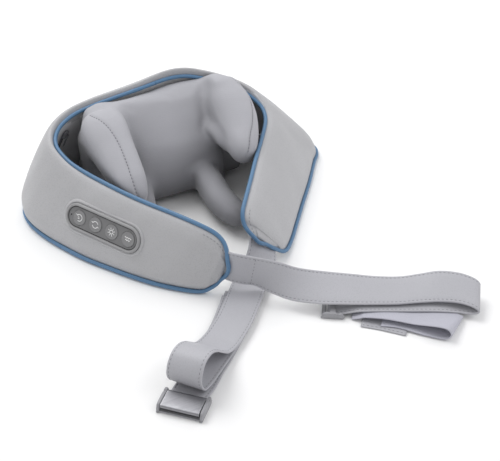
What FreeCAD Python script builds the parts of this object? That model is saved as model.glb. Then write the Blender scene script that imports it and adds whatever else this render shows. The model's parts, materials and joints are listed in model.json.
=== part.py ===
import FreeCAD, Part
import os, math
from FreeCAD import Vector as V

os.makedirs("parts", exist_ok=True)

# ---------------------------------------------------------------- dimensions (mm)
SHIFT_X, SHIFT_Y = -13.148, 10.868        # moves the design frame to the centre of the footprint
BAND_IN, BAND_OUT = 4.0, 8.0       # padded band: inner and outer crown over the seam surface
BACK_OUT = 13.0                    # fuller crown across the back
PIPE_R = 2.2                       # corded piping radius
SEAM_Z = 0.8                       # height of the lower seam over the floor
STRAP_W, STRAP_T = 37.0, 2.2       # webbing
TAIL_T = 1.5                       # elastic webbing
SPLIT_GAP = 0.6                    # half gap at the flex lines of the collar
WALL = 2.5                         # housing wall
BEZEL_L, BEZEL_W = 100.0, 30.0     # control bezel, overall
BUTTON_R, BUTTON_PITCH = 8.3, 22.0
CELL_R, CELL_L = 9.2, 65.0         # 18650 cell
MOTOR_R, MOTOR_L = 13.5, 40.0
SHAFT_R = 1.5
WORM_R, WHEEL_R, WHEEL_T = 4.0, 11.0, 8.0
NODE_R = 9.5                       # hard massage node inside each claw
PIN_R = 3.0                        # claw pivot pins
JACK_R, JACK_DEPTH = 2.75, 9.0     # charging socket bore

# ---------------------------------------------------------------- helpers
def vec(p):
    return V(p[0], p[1], p[2])

def catmull(pts, i, t):
    n = len(pts)
    p0, p1, p2, p3 = pts[max(i-1, 0)], pts[i], pts[min(i+1, n-1)], pts[min(i+2, n-1)]
    if i == 0: p0 = p1*2 - p2
    if i + 2 > n - 1: p3 = p2*2 - p1
    return (p1*2 + (p2-p0)*t + (p0*2 - p1*5 + p2*4 - p3)*(t*t) + (p1*3 - p0 - p2*3 + p3)*(t*t*t))*0.5

def at(pts, u):
    u = max(0.0, min(len(pts)-1.000001, u))
    i = int(u)
    return catmull(pts, i, u-i)

def unit(v):
    w = V(v); w.normalize(); return w

def tri(a, b, c):
    if (b-a).cross(c-a).Length < 1e-6:
        return None
    return Part.Face(Part.makePolygon([a, b, c, a]))

def skin(sections, cap=True):
    """closed solid from rings of points with flat facets"""
    f = []
    m = len(sections[0])
    for s, r in zip(sections[:-1], sections[1:]):
        for j in range(m):
            k = (j+1) % m
            f += [tri(s[j], s[k], r[k]), tri(s[j], r[k], r[j])]
    for ring in (sections[0], sections[-1]):
        c = V(0, 0, 0)
        for p in ring: c = c + p
        c = c*(1.0/m)
        for j in range(m):
            f.append(tri(c, ring[j], ring[(j+1) % m]))
    f = [x for x in f if x is not None]
    sh = Part.makeShell(f)
    sh.sewShape()
    so = Part.makeSolid(sh if sh.ShapeType == "Shell" else sh.Shells[0])
    if so.Volume < 0: so.reverse()
    return so

NODES = {}
def put(name, shape):
    NODES[name] = shape

def cyl(r, p, d, L):
    return Part.makeCylinder(r, L, vec(p), vec(d))

def box(x0, x1, y0, y1, z0, z1):
    return Part.makeBox(x1-x0, y1-y0, z1-z0, V(x0, y0, z0))

def cut(a, *b):
    for s in b: a = a.cut(s)
    return a

def fuse(a, *b):
    for s in b: a = a.fuse(s)
    return a.removeSplitter()

# ---------------------------------------------------------------- the collar's two seams
# upper seam, lower seam: from the left tip, round the back, to the right tip
SEAMS = [
 ((-25.4,-85.9,38),(-27.9,-82.2,22)),
 ((-23.3,-83.3,48),(-34.8,-81.3,11)),
 ((-25.6,-78.5,58),(-41.9,-78.0,4.5)),
 ((-32.2,-69.8,66),(-51,-74.5,SEAM_Z)),
 ((-44.8,-53.4,71),(-66,-63.5,SEAM_Z)),
 ((-60.7,-27.9,73),(-86,-44,SEAM_Z)),
 ((-77.4,-2.8,75),(-104,-21,SEAM_Z)),
 ((-91.5,20.4,77),(-121,4,SEAM_Z)),
 ((-104.5,45.1,79),(-139,32,SEAM_Z)),
 ((-117.3,71.8,81),(-153,60.5,SEAM_Z)),
 ((-128.0,95.5,84.5),(-164,87,SEAM_Z)),
 ((-134,117,90),(-171,111,SEAM_Z)),
 ((-133.5,130,94),(-173.5,131,SEAM_Z)),
 ((-128,142,98),(-171,152,SEAM_Z)),
 ((-117,151.5,103),(-160,173,SEAM_Z)),
 ((-99,160,107),(-141,194,SEAM_Z)),
 ((-75,161.3,112),(-112,214,SEAM_Z)),
 ((-47,158,118),(-68,225,SEAM_Z)),
 ((-16,158,122),(-22,230,SEAM_Z)),
 ((16,161,124.5),(24,230,SEAM_Z)),
 ((39,158,124.5),(66,225,SEAM_Z)),
 ((60,151,120),(104,214,SEAM_Z)),
 ((82,143,112),(140,197,SEAM_Z)),
 ((101,134,103),(170,174,SEAM_Z)),
 ((112,126,95),(189,150,SEAM_Z)),
 ((118,115,88),(198,126,SEAM_Z)),
 ((118.3,104,83),(194,108,SEAM_Z)),
 ((111,86.7,79),(180,91,SEAM_Z)),
 ((91.3,59,75),(152,54,SEAM_Z)),
 ((69.3,30,72),(124,20,SEAM_Z)),
 ((46,-2.5,69),(98,-12,SEAM_Z)),
 ((25,-31,66),(76,-39,SEAM_Z)),
 ((14.4,-45.4,61),(60,-56.4,3.5)),
 ((12.6,-52.1,52),(49.5,-60.5,9)),
 ((14.9,-59.9,44),(36.9,-64.4,20)),
 ((19,-61.5,38),(27.5,-62.5,29)),
]
TOPS = [vec(a) for a, b in SEAMS]
BOTS = [vec(b) for a, b in SEAMS]
LEFT_SPLIT, RIGHT_SPLIT = 12.0, 25.0
N_END = len(SEAMS) - 1

def frame_at(u):
    """upper seam, lower seam, up-width direction, outward normal"""
    T, B = at(TOPS, u), at(BOTS, u)
    e = 0.05
    m0 = (at(TOPS, u-e)+at(BOTS, u-e))*0.5
    m1 = (at(TOPS, u+e)+at(BOTS, u+e))*0.5
    tan = unit(m1-m0)
    w = unit(T-B)
    n = unit(w.cross(tan))            # points away from the wearer
    return T, B, w, n, tan

def ramp(u, a, b):
    t = max(0.0, min(1.0, (u-a)/(b-a)))
    return t*t*(3-2*t)

def crown(u):
    """outer crown height and how far the outer panel rolls over the upper seam"""
    k = ramp(u, 8.5, 12.0)*(1.0 - ramp(u, 23.5, 27.0))
    return BAND_OUT + (BACK_OUT-BAND_OUT)*k, k

def band_section(u):
    T, B, w, n, tan = frame_at(u)
    W = (T-B).Length
    k = min(1.0, W/55.0)
    o, r = crown(u)
    i, o = BAND_IN*k, o*k
    e = min(4.2, W*0.12)
    prof = [(0.0, -0.2), (e, 0.1), (e*1.6, o*0.45), (0.2*W, o*0.9), (0.5*W, o), (0.8*W, o*0.95), (W-e*1.3+6.5*r, o*0.70), (W-1.0*k+6.0*r, o*0.36), (W+3.5*r, 1.2*k+1.2*r),
            (W, -0.1), (W-1.0*k, -1.6*k), (0.9*W, -i*0.85), (0.5*W, -i), (0.1*W, -i*0.85), (e*0.35, -1.4*k)]
    ring = []
    for f, h in prof:
        p = B + w*f + n*h
        if p.z < 0.0: p.z = 0.0
        ring.append(p)
    if B.z < 3.0: ring[0].z = 0.0
    return ring

def band(u0, u1, n):
    return skin([band_section(u0+(u1-u0)*i/n) for i in range(n+1)])

# flex-line gaps in units of the station parameter
def station_gap(u):
    return SPLIT_GAP/((at(BOTS, u+0.02)-at(BOTS, u-0.02)).Length/0.04)

gl, gr = station_gap(LEFT_SPLIT)*1.6, station_gap(RIGHT_SPLIT)*1.9
arm_left_pad = band(0.12, LEFT_SPLIT-gl, 30)
band_back = band(LEFT_SPLIT+gl, RIGHT_SPLIT-gr, 34)
arm_right_pad = band(RIGHT_SPLIT+gr, N_END-0.12, 26)

def tube(points, r, n=8):
    """faceted round cord through points"""
    rings = []
    up0 = None
    for i, p in enumerate(points):
        a = points[max(i-1, 0)]; b = points[min(i+1, len(points)-1)]
        t = unit(b-a)
        ref = V(0, 0, 1) if abs(t.z) < 0.9 else V(1, 0, 0)
        s = unit(t.cross(ref)) if up0 is None else unit(up0 - t*(up0.dot(t)))
        up0 = s
        q = unit(t.cross(s))
        rings.append([p + s*(r*math.cos(2*math.pi*k/n)) + q*(r*math.sin(2*math.pi*k/n)) for k in range(n)])
    return skin(rings)

def seam_offset(pts, u, out=0.0):
    T, B, w, n, tan = frame_at(u)
    return n, w

def pipe_path(side, u0, u1, n):
    path = []
    for i in range(n+1):
        u = u0 + (u1-u0)*i/n
        T, B, w, nn, tan = frame_at(u)
        if side == "top":
            p = T + w*(PIPE_R+0.55) - nn*(1.6*crown(u)[1])
        else:
            p = B + w*1.3 + nn*(PIPE_R+0.35)
            if p.z < PIPE_R+0.3: p.z = PIPE_R+0.3
        path.append(p)
    return path

# ---------------------------------------------------------------- the inner pad
def rear_y(x, z):
    """inner face of the band behind the pad at this height, less a small gap"""
    best = []
    for k in range(0, 121):
        u = 12.6 + 12.0*k/120
        T, B = at(TOPS, u), at(BOTS, u)
        f = (z-B.z)/(T.z-B.z)
        if f > 1.0: f = 1.0
        q = B + (T-B)*f
        best.append((q.x, q.y))
    for (xa, ya), (xb, yb) in zip(best[:-1], best[1:]):
        if xa <= x <= xb:
            return ya + (yb-ya)*(x-xa)/(xb-xa) - (BAND_IN+3.2)
    return 120.0

PAD_TOP, SHOULDER_TOP = 121.5, {1: 130.5, -1: 121.0}
def pad_profile(x):
    ax = abs(x)
    if ax <= 56:
        k = (ax/56.0)**2
        tz = PAD_TOP + 3.0*k
        fr = [(144-4*k,tz),(131-8*k,107),(115-4*k,90),(101-0*k,70),(93,50),(89,30),(89,14),(96,6)]
    else:
        k = (ax-56)/38.0
        tz = SHOULDER_TOP[1 if x > 0 else -1] - 11.0*max(0.0, k-0.35)**1.2
        fr = [(118+2*k,tz),(110+2*k,tz-8),(108+2*k,98-4*k),(108+3*k,76),(106+6*k,50),(104+8*k,30),(104+8*k,14),(110+6*k,6)]
    bk = [(rear_y(x,6), 6), (rear_y(x,14), 14), (rear_y(x,60), 60), (rear_y(x,tz-20)-1.5, tz-20), (max(fr[0][0]+6, rear_y(x, tz)-6.0), tz)]
    return [V(x, y, z) for y, z in fr + bk]

core_xs = [-92,-84,-74,-64,-57,-50,-36,-22,-8,8,22,36,50,57,64,74,84,92]
core_pad = skin([pad_profile(x) for x in core_xs])

# rigid housing inside the pad
HX, HY0, HY1, HZ0, HZ1 = 60.0, 114.0, 160.0, 16.0, 86.0
SPLIT_Y = 134.0
def housing_block(g):
    b = box(-HX+g, HX-g, HY0+g, HY1-g, HZ0+g, HZ1-g)
    c = 6.0
    wedge = Part.Face(Part.makePolygon([V(-HX-1, HY0+g-1, HZ1-g-c-1), V(-HX-1, HY0+g+c+1, HZ1-g+1), V(-HX-1, HY0-3, HZ1+3), V(-HX-1, HY0+g-1, HZ1-g-c-1)])).extrude(V(2*HX+2, 0, 0))
    return b.cut(wedge)
outer = housing_block(0.0)
inner = housing_block(WALL)
shell = outer.cut(inner)
front = shell.common(box(-HX-1, HX+1, HY0-1, SPLIT_Y, HZ0-1, HZ1+1))
rear = shell.common(box(-HX-1, HX+1, SPLIT_Y, HY1+1, HZ0-1, HZ1+1))

UP_PIV = (122.0, 76.0)      # y, z of the upper claw pivot
LO_PIV = (100.0, 34.0)      # y, z of the lower claw pivot
UP_X = (73.0, 81.0)
LO_X = {1: (32.0, 40.0), -1: (47.0, 55.0)}
# pivot bosses
for s in (-1, 1):
    x0 = s*HX
    front = front.fuse(cyl(6.0, (s*(HX-6.5), UP_PIV[0], UP_PIV[1]), (s, 0, 0), 6.5+12.5))
    for a, b in ((LO_X[s][0]-5.4, LO_X[s][0]-0.5), (LO_X[s][1]+0.5, LO_X[s][1]+5.0)):
        lug = box(min(s*a, s*b), max(s*a, s*b), LO_PIV[0], HY0+0.5, LO_PIV[1]-6, LO_PIV[1]+6).fuse(cyl(6.0, (min(s*a, s*b), LO_PIV[0], LO_PIV[1]), (1, 0, 0), abs(b-a)))
        front = front.fuse(lug)
for s in (-1, 1):
    front = front.cut(cyl(PIN_R, (s*(HX-10), UP_PIV[0], UP_PIV[1]), (s, 0, 0), 60))
    front = front.cut(cyl(PIN_R, (s*(LO_X[s][0]-8), LO_PIV[0], LO_PIV[1]), (s, 0, 0), 30))
front = front.removeSplitter()

# screw posts joining the shells
posts_xy = [(-50.0, 22.0), (50.0, 22.0), (-50.0, 62.0), (50.0, 62.0)]
for x, z in posts_xy:
    rear = rear.fuse(cyl(3.6, (x, SPLIT_Y, z), (0, 1, 0), HY1-SPLIT_Y-1))
    rear = rear.cut(cyl(1.6, (x, SPLIT_Y-1, z), (0, 1, 0), HY1-SPLIT_Y+3)).cut(cyl(2.9, (x, HY1-2.6, z), (0, 1, 0), 4))
    front = front.fuse(cyl(3.6, (x, HY0+1, z), (0, 1, 0), SPLIT_Y-HY0-1)).cut(cyl(1.25, (x, SPLIT_Y-11, z), (0, 1, 0), 12))
WX, WZ, MY, MZ = 34.0, 51.6, 137.0, 36.0
# bosses for the two wheel shafts
for s in (-1, 1):
    front = front.fuse(cyl(5.0, (s*WX, HY0+1, WZ), (0, 1, 0), 8.0)).cut(cyl(2.5, (s*WX, HY0+4, WZ), (0, 1, 0), 8.0))
    rear = rear.fuse(cyl(5.0, (s*WX, 146.0, WZ), (0, 1, 0), HY1-147.0)).cut(cyl(2.5, (s*WX, 145.0, WZ), (0, 1, 0), 8.0))
put("core_housing_front", front.removeSplitter())
put("core_housing_rear", rear.removeSplitter())

screws = []
for x, z in posts_xy:
    sc = cyl(1.25, (x, SPLIT_Y-10, z), (0, 1, 0), HY1-2.6-SPLIT_Y+10).fuse(cyl(2.7, (x, HY1-2.6, z), (0, 1, 0), 2.0))
    sc = sc.cut(box(x-2.0, x+2.0, HY1-1.4, HY1, z-0.35, z+0.35))
    screws.append(sc.removeSplitter())
put("housing_screws", Part.makeCompound(screws))

# drive: twin-shaft motor, worms, wheels with crank pins
can = cyl(MOTOR_R, (-MOTOR_L/2, MY, MZ), (1, 0, 0), MOTOR_L)
can = can.fuse(cyl(4.5, (-MOTOR_L/2-2, MY, MZ), (1, 0, 0), MOTOR_L+4)).cut(cyl(SHAFT_R+0.05, (-40, MY, MZ), (1, 0, 0), 80))
put("motor_can", can.removeSplitter())
rot = cyl(SHAFT_R, (-46, MY, MZ), (1, 0, 0), 92)
for s in (-1, 1):
    x0 = 26.0 if s > 0 else -42.0
    rot = rot.fuse(cyl(WORM_R-0.9, (x0, MY, MZ), (1, 0, 0), 16))
    for k in range(5):
        rot = rot.fuse(cyl(WORM_R, (x0+1.2+3.1*k, MY, MZ), (1, 0, 0), 1.2))
put("motor_rotor", rot.removeSplitter())
ring = cyl(MOTOR_R+2.2, (-5, MY, MZ), (1, 0, 0), 10).cut(cyl(MOTOR_R, (-6, MY, MZ), (1, 0, 0), 12))
foot = box(-5, 5, MY+10, HY1-WALL, MZ-12, MZ+12).cut(cyl(MOTOR_R+0.5, (-6, MY, MZ), (1, 0, 0), 12))
put("motor_bracket", ring.fuse(foot).removeSplitter())

def gear(cx, cz, y0, t, r, teeth):
    pts = []
    for i in range(teeth):
        a = 2*math.pi*i/teeth
        p = 2*math.pi/teeth
        for da, rr in ((-0.25, r-1.6), (-0.13, r), (0.13, r), (0.25, r-1.6)):
            pts.append(V(cx+rr*math.cos(a+da*p), y0, cz+rr*math.sin(a+da*p)))
    pts.append(pts[0])
    return Part.Face(Part.makePolygon(pts)).extrude(V(0, t, 0))
for s, nm in ((-1, "left"), (1, "right")):
    w = gear(s*WX, WZ, 133.0, WHEEL_T, WHEEL_R, 20)
    w = w.fuse(cyl(4.4, (s*WX, 131.0, WZ), (0, 1, 0), 12.0))
    w = w.fuse(cyl(8.4, (s*WX, 129.5, WZ), (0, 1, 0), 3.6))
    w = w.fuse(cyl(1.8, (s*WX, 124.5, WZ+5.8), (0, 1, 0), 6.0))
    w = w.cut(cyl(2.55, (s*WX, 120.0, WZ), (0, 1, 0), 30.0))
    put("worm_wheel_"+nm, w.removeSplitter())
put("wheel_shafts", Part.makeCompound([cyl(2.5, (s*WX, HY0+4, WZ), (0, 1, 0), 153.0-HY0-4) for s in (-1, 1)]))
put("battery_cells", Part.makeCompound([cyl(CELL_R, (-CELL_L/2, y, 73.4), (1, 0, 0), CELL_L).fuse(cyl(3.0, (CELL_L/2, y, 73.4), (1, 0, 0), 1.2)).removeSplitter() for y in (127.9, 147.2)]))
pcb = box(-20, 20, 153.6, 155.2, 52.5, 63.5).fuse(box(-20, -8, 153.6, 155.2, 20, 53)).fuse(box(8, 20, 153.6, 155.2, 20, 53))
for x0, x1, z0, z1, h in ((-18, -10, 24, 34, 1.6), (10, 17, 26, 34, 2.0), (-6, 6, 55, 61, 1.6)):
    pcb = pcb.fuse(box(x0, x1, 153.6-h, 153.7, z0, z1))
put("main_pcb", pcb.removeSplitter())
put("heating_film", box(-24, 24, HY0-1.2, HY0-0.6, 50, 74).fuse(box(-3, 3, HY0-1.2, HY0-0.6, 46, 51)).removeSplitter())

# ---------------------------------------------------------------- claws
def ellipse_ring(c, d, rx, rz, n=14):
    d = unit(d); x = V(1, 0, 0); x = unit(x - d*(x.dot(d))); q = unit(d.cross(x))
    return [c + x*(rx*math.cos(2*math.pi*k/n)) + q*(rz*math.sin(2*math.pi*k/n)) for k in range(n)]

UP_ST = {1: [((80,101,93),23,24),((78,86,88),21,22.5),((72.0,68,81),16.5,19.5),((64.0,54,75.5),14.5,17.5),((59.5,45,72),12.0,14),((57.0,40,70),8.0,8.5),((56.4,38,69.3),3.5,3.5)],
         -1: [((80,101,93),23,24),((79,86,88),21.5,22.5),((77.5,68,82),19.5,20),((76.5,54,77),18,17.5),((76,44,73),16.5,16),((76.5,35,68.5),14.5,13.5),((77.5,27,64.5),12,11),((78,21.5,62),8.5,8),((78.2,18.5,60.8),3.5,3.5)]}
LO_ST = {-1: [((52,82,27),19,19.5),((57,66,25),18.5,18.5),((63,50,23),17.5,17),((67,40,22.5),15.5,15),((69.5,33.5,22.3),11.5,11),((70.5,29.8,22.2),7,6.5),((71,28.2,22.2),3,3)],
         1: [((36,82,27),19,19.5),((33.5,62,25),18.5,18.5),((31.5,42,23),18,17),((31.5,24,22.5),17.8,16.3),((34,9,22.2),16,14.8),((36.5,-1,21.8),12,11.2),((38,-7,21.5),7.5,7),((38.4,-9.5,21.4),3,3)]}
def claw(st, s):
    cs = [V(s*c[0], c[1], c[2]) for c, a, b in st]
    rings = []
    for i, (c, a, b) in enumerate(st):
        d = cs[min(i+1, len(cs)-1)] - cs[max(i-1, 0)]
        if i == 0: d = V(0, -1, 0)
        rings.append(ellipse_ring(cs[i], d, a, b))
    if s < 0: rings = [list(reversed(r)) for r in rings]
    return skin(rings)

def ball_facets(c, r):
    rings = []
    for a in (4, 25, 50, 75, 105, 130, 155, 176):
        t = math.radians(a)
        rings.append([c + V(-r*math.cos(t), r*math.sin(t)*math.cos(2*math.pi*k/12), r*math.sin(t)*math.sin(2*math.pi*k/12)) for k in range(12)])
    return skin(rings)

def arm_bar(s, xr, piv, tip, hub_r, tip_r, width):
    x0 = min(s*xr[0], s*xr[1])
    w = xr[1]-xr[0]
    hub = cyl(hub_r, (x0, piv[0], piv[1]), (1, 0, 0), w)
    end = cyl(tip_r, (x0, tip[0], tip[1]), (1, 0, 0), w)
    dy, dz = tip[0]-piv[0], tip[1]-piv[1]
    L = math.hypot(dy, dz); ny, nz = -dz/L, dy/L
    h = width/2
    pl = [V(x0, piv[0]+ny*h, piv[1]+nz*h), V(x0, tip[0]+ny*h, tip[1]+nz*h), V(x0, tip[0]-ny*h, tip[1]-nz*h), V(x0, piv[0]-ny*h, piv[1]-nz*h)]
    bar = Part.Face(Part.makePolygon(pl+[pl[0]])).extrude(V(w, 0, 0))
    return hub.fuse(bar).fuse(end)

for s, side in ((-1, "left"), (1, "right")):
    for lvl, st, xr, piv, tip, ball in (("upper", UP_ST[s], UP_X, UP_PIV, (68.0, 81.0), (67.5 if s > 0 else 73.5, 60.0, 77.5)),
                                        ("lower", LO_ST[s], LO_X[s], LO_PIV, (36.0, 23.0) if s > 0 else (56.0, 24.0), (35.0, 27.0, 22.6) if s > 0 else (64.5, 45.0, 22.6))):
        name = lvl + "_" + side
        arm = arm_bar(s, xr, piv, tip, 7.5 if lvl == "upper" else 6.0, 5.0, 9.0)
        arm = arm.cut(cyl(PIN_R+0.06, (-110, piv[0], piv[1]), (1, 0, 0), 220)).removeSplitter()
        knob = ball_facets(V(s*ball[0], ball[1], ball[2]), NODE_R)
        node = knob.cut(arm)
        if len(node.Solids) > 1:
            node = max(node.Solids, key=lambda q: q.Volume)
        cover = claw(st, s).cut(arm).cut(knob)
        if len(cover.Solids) > 1:
            cover = max(cover.Solids, key=lambda q: q.Volume)
        put("claw_arm_"+name, arm.removeSplitter())
        put("claw_node_"+name, node)
        put("claw_cover_"+name, cover)
put("claw_pins_upper", Part.makeCompound([cyl(PIN_R, (s*(HX-6), UP_PIV[0], UP_PIV[1]), (s, 0, 0), 84.5-HX+6).fuse(cyl(5.0, (s*(81.5), UP_PIV[0], UP_PIV[1]), (s, 0, 0), 2.0)).removeSplitter() for s in (-1, 1)]))
put("claw_pins_lower", Part.makeCompound([cyl(PIN_R, (s*(LO_X[s][0]-5.4), LO_PIV[0], LO_PIV[1]), (s, 0, 0), 18.4) for s in (-1, 1)]))

# pockets in the pad for the housing, the heater and the claw roots
core_pad = core_pad.cut(outer)
for s in (-1, 1):
    core_pad = core_pad.cut(box(min(s*59.9, s*86), max(s*59.9, s*86), 96, 134, 62, 91))
    core_pad = core_pad.cut(box(min(s*(LO_X[s][0]-6), s*(LO_X[s][1]+6)), max(s*(LO_X[s][0]-6), s*(LO_X[s][1]+6)), 70, 114.1, 22, 46))
core_pad = core_pad.cut(box(-24, 24, HY0-1.2, HY0+0.1, 50, 74)).cut(box(-3, 3, HY0-1.2, HY0+0.1, 46, 51))
JX, JZ = 0.0, 46.0
put("core_pad", core_pad.removeSplitter() if False else core_pad)

# ---------------------------------------------------------------- charging socket in the back
u_j = 18.5
T, B, w, n, tan = frame_at(u_j)
pj = B + (T-B)*0.30 + n*(crown(u_j)[0]-0.6)
jd = unit(n)
jack = cyl(7.0, pj - jd*10.0, jd, 10.6).fuse(cyl(9.0, pj - jd*0.4, jd, 1.4)).cut(cyl(JACK_R, pj - jd*(JACK_DEPTH-1.0), jd, JACK_DEPTH+1))
put("charging_jack", jack.removeSplitter())
band_back = band_back.cut(cyl(7.0, pj - jd*10.0, jd, 24.0)).cut(cyl(9.0, pj - jd*0.4, jd, 14.0))
print("JACK", [round(q, 6) for q in (pj+jd*1.0)], [round(q, 9) for q in jd])

# ---------------------------------------------------------------- control panel on the left arm
PU, PF = 7.52, 0.515
T, B, w, n, tan = frame_at(PU)
PN = unit(n)
PC = B + (T-B)*PF + PN*(BAND_OUT-0.2)
PL = unit(at(TOPS, PU-2.0)+at(BOTS, PU-2.0)-at(TOPS, PU+2.0)-at(BOTS, PU+2.0))
PL = unit(PL - PN*(PL.dot(PN)))
PP = unit(PN.cross(PL))
if PP.z < 0: PP = PP*-1.0
print("PANEL C", [round(q, 2) for q in PC], "L", [round(q, 4) for q in PL], "P", [round(q, 4) for q in PP], "N", [round(q, 4) for q in PN])

def place(shape):
    """shape drawn with x along PL, y along PP, z along PN"""
    X, Y, Z = PL, PP, PN
    if X.cross(Y).dot(Z) < 0:
        Y = Y*-1.0
    m = FreeCAD.Matrix(X.x, Y.x, Z.x, PC.x, X.y, Y.y, Z.y, PC.y, X.z, Y.z, Z.z, PC.z, 0, 0, 0, 1)
    s = shape.copy()
    s.transformShape(m, True)
    return s

def pill(L, W, z0, z1):
    r = W/2.0; a = L/2.0 - r
    b = Part.makeBox(2*a, W, z1-z0, V(-a, -r, z0))
    return b.fuse(Part.makeCylinder(r, z1-z0, V(-a, 0, z0))).fuse(Part.makeCylinder(r, z1-z0, V(a, 0, z0))).removeSplitter()
BTN_X = [BUTTON_PITCH*(i-1.5)+2.0 for i in range(4)]
LED_X = -42.5+0.0
bezel = pill(BEZEL_L, BEZEL_W, -9.0, 2.6).cut(pill(BEZEL_L-7.0, BEZEL_W-7.0, -9.5, 3.0))
face = pill(BEZEL_L-7.0, BEZEL_W-7.0, -1.6, 1.0)
for x in BTN_X: face = face.cut(Part.makeCylinder(BUTTON_R+0.35, 6, V(x, 0, -3)))
face = face.cut(Part.makeCylinder(1.1, 6, V(LED_X, 0, -3)))
back = pill(BEZEL_L-7.0, BEZEL_W-7.0, -9.0, -7.4)
cpcb = pill(BEZEL_L-8.4, BEZEL_W-9.0, -6.6, -5.4)
for x in BTN_X: cpcb = cpcb.fuse(Part.makeBox(5, 5, 1.0, V(x-2.5, -2.5, -5.5)))
put("control_bezel", place(bezel))
put("control_face", place(face.removeSplitter()))
put("control_rear_cover", place(back))
put("control_pcb", place(cpcb.removeSplitter()))
put("led_lens", place(Part.makeCylinder(1.05, 3.0, V(LED_X, 0, -2.0))))
for i, (x, nm) in enumerate(zip(BTN_X, ("power", "direction", "heat", "speed"))):
    b = Part.makeCylinder(BUTTON_R, 4.8, V(x, 0, -3.0)).fuse(Part.makeCylinder(BUTTON_R+0.9, 0.8, V(x, 0, -3.2)))
    b = b.removeSplitter()
    put("button_"+nm, place(b))
arm_left_pad = arm_left_pad.cut(place(pill(BEZEL_L, BEZEL_W, -9.0, 20.0)))
if len(arm_left_pad.Solids) > 1:
    arm_left_pad = max(arm_left_pad.Solids, key=lambda q: q.Volume)

# ---------------------------------------------------------------- webbing
def ribbon(pairs, t, n_per=3, flip=False):
    A = [vec(a) for a, b in pairs]; Bq = [vec(b) for a, b in pairs]
    N = (len(pairs)-1)*n_per
    rings = []
    pn = None
    for i in range(N+1):
        u = i/float(n_per)
        a, b = at(A, u), at(Bq, u)
        e = 0.04
        m0 = (at(A, u-e)+at(Bq, u-e)); m1 = (at(A, u+e)+at(Bq, u+e))
        tn = unit(m1-m0); w = unit(a-b); n = unit(tn.cross(w))
        if pn is not None and n.dot(pn) < 0 and False: n = n*-1
        pn = n
        h = t/2.0
        rings.append([a+n*h, b+n*h, b-n*h, a-n*h])
    return skin(rings)

STRAP_LEFT = [
 ((-40,-66,51),(-42,-67,15)),
 ((-27.5,-88,53),(-29,-89,17)),
 ((-12,-99,52),(-16,-98.5,16)),
 ((3,-109,49.5),(-2.9,-106,14)),
 ((20,-116,43.5),(7.5,-124,12.6)),
 ((38,-122.5,34.5),(20.5,-143,12.4)),
 ((63,-129.5,26),(41.5,-160,12.8)),
 ((87,-141.5,22.5),(63.5,-172.5,13)),
 ((111,-153.5,19),(88.5,-185.5,13)),
 ((134.5,-165,18),(111,-196.5,13)),
 ((155,-173,20),(130.5,-204.5,13.5)),
 ((172,-182,24),(149.5,-213,14)),
 ((188,-194,24.5),(166,-224,14.5)),
 ((199,-206,22),(176.5,-235.5,13.5)),
 ((203,-211.5,16.5),(180.5,-241,10)),
 ((199,-209.5,10.5),(177,-239,6.6)),
 ((188,-201,8.6),(166,-231,6.4)),
 ((165,-188.5,8.9),(143.5,-219.5,8.2)),
 ((134,-173,8.9),(112.5,-204,8.6)),
 ((106,-158.5,8.6),(84.5,-189.5,8.4)),
 ((94,-151.7,7.4),(72.5,-182.7,7.4)),
 ((81,-144.3,3.4),(60.5,-175.1,3.4)),
 ((74,-140.2,2.7),(53.5,-171,2.7)),
 ((68,-136.5,2.6),(47.5,-167.3,2.6)),
]
STRAP_RIGHT = [
 ((20,-46,42),(48,-47,18)),
 ((14,-62,36),(42,-68,14)),
 ((5,-68,22.5),(35,-81,9)),
 ((-5,-72,12),(25,-93.5,8)),
 ((-19,-84,8),(9.5,-107.5,8)),
 ((-35,-102,7.6),(-8.5,-128,7.6)),
 ((-53,-122,7.2),(-28,-149,7.2)),
 ((-69,-136,7),(-46,-165,7)),
 ((-80,-144.5,7.4),(-57,-173.5,7.4)),
 ((-92,-153.5,11),(-69,-182.8,12.5)),
 ((-101,-160.5,20),(-78.5,-190,22.5)),
 ((-110,-167.5,30.5),(-87.5,-197,33.5)),
 ((-119,-174.5,36.8),(-96.5,-204,41)),
 ((-128,-181.5,37),(-105.5,-211,42)),
 ((-134.5,-186.6,31),(-112,-216.1,36)),
 ((-137.3,-188.8,22),(-114.8,-218.3,26)),
 ((-135.5,-187.4,13),(-113,-216.9,15)),
 ((-130,-183,6.5),(-107.5,-212.5,7)),
 ((-119,-174.5,4.3),(-96.5,-204,4.4)),
 ((-104,-163,4.1),(-80.5,-191.5,4.1)),
 ((-86,-149,4.1),(-61.5,-176.5,4.1)),
 ((-67,-131.5,4.1),(-41.5,-158,4.1)),
 ((-50,-112,4.1),(-23.5,-138,4.1)),
 ((-36,-94.5,4.1),(-9,-120,4.1)),
]
STRAP_TAIL = [
 ((-28,-86,1.3),(0,-110.5,1.3)),
 ((-41,-102,1.25),(-14.8,-128,1.25)),
 ((-58,-122,1.25),(-33,-149.5,1.25)),
 ((-75,-139,1.25),(-51.4,-167.5,1.25)),
 ((-90,-153,1.25),(-66.7,-181.8,1.25)),
 ((-104,-164.5,1.25),(-81,-193.8,1.25)),
 ((-117,-177,1.25),(-92,-204.3,1.25)),
 ((-126.5,-185.5,1.5),(-100.8,-212.0,1.5)),
 ((-135.4,-193.7,2.7),(-109.6,-219.2,2.7)),
 ((-143.2,-201.7,2.8),(-117.4,-227.2,2.8)),
 ((-149.5,-208.1,2.8),(-123.7,-233.6,2.8)),
]
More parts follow.
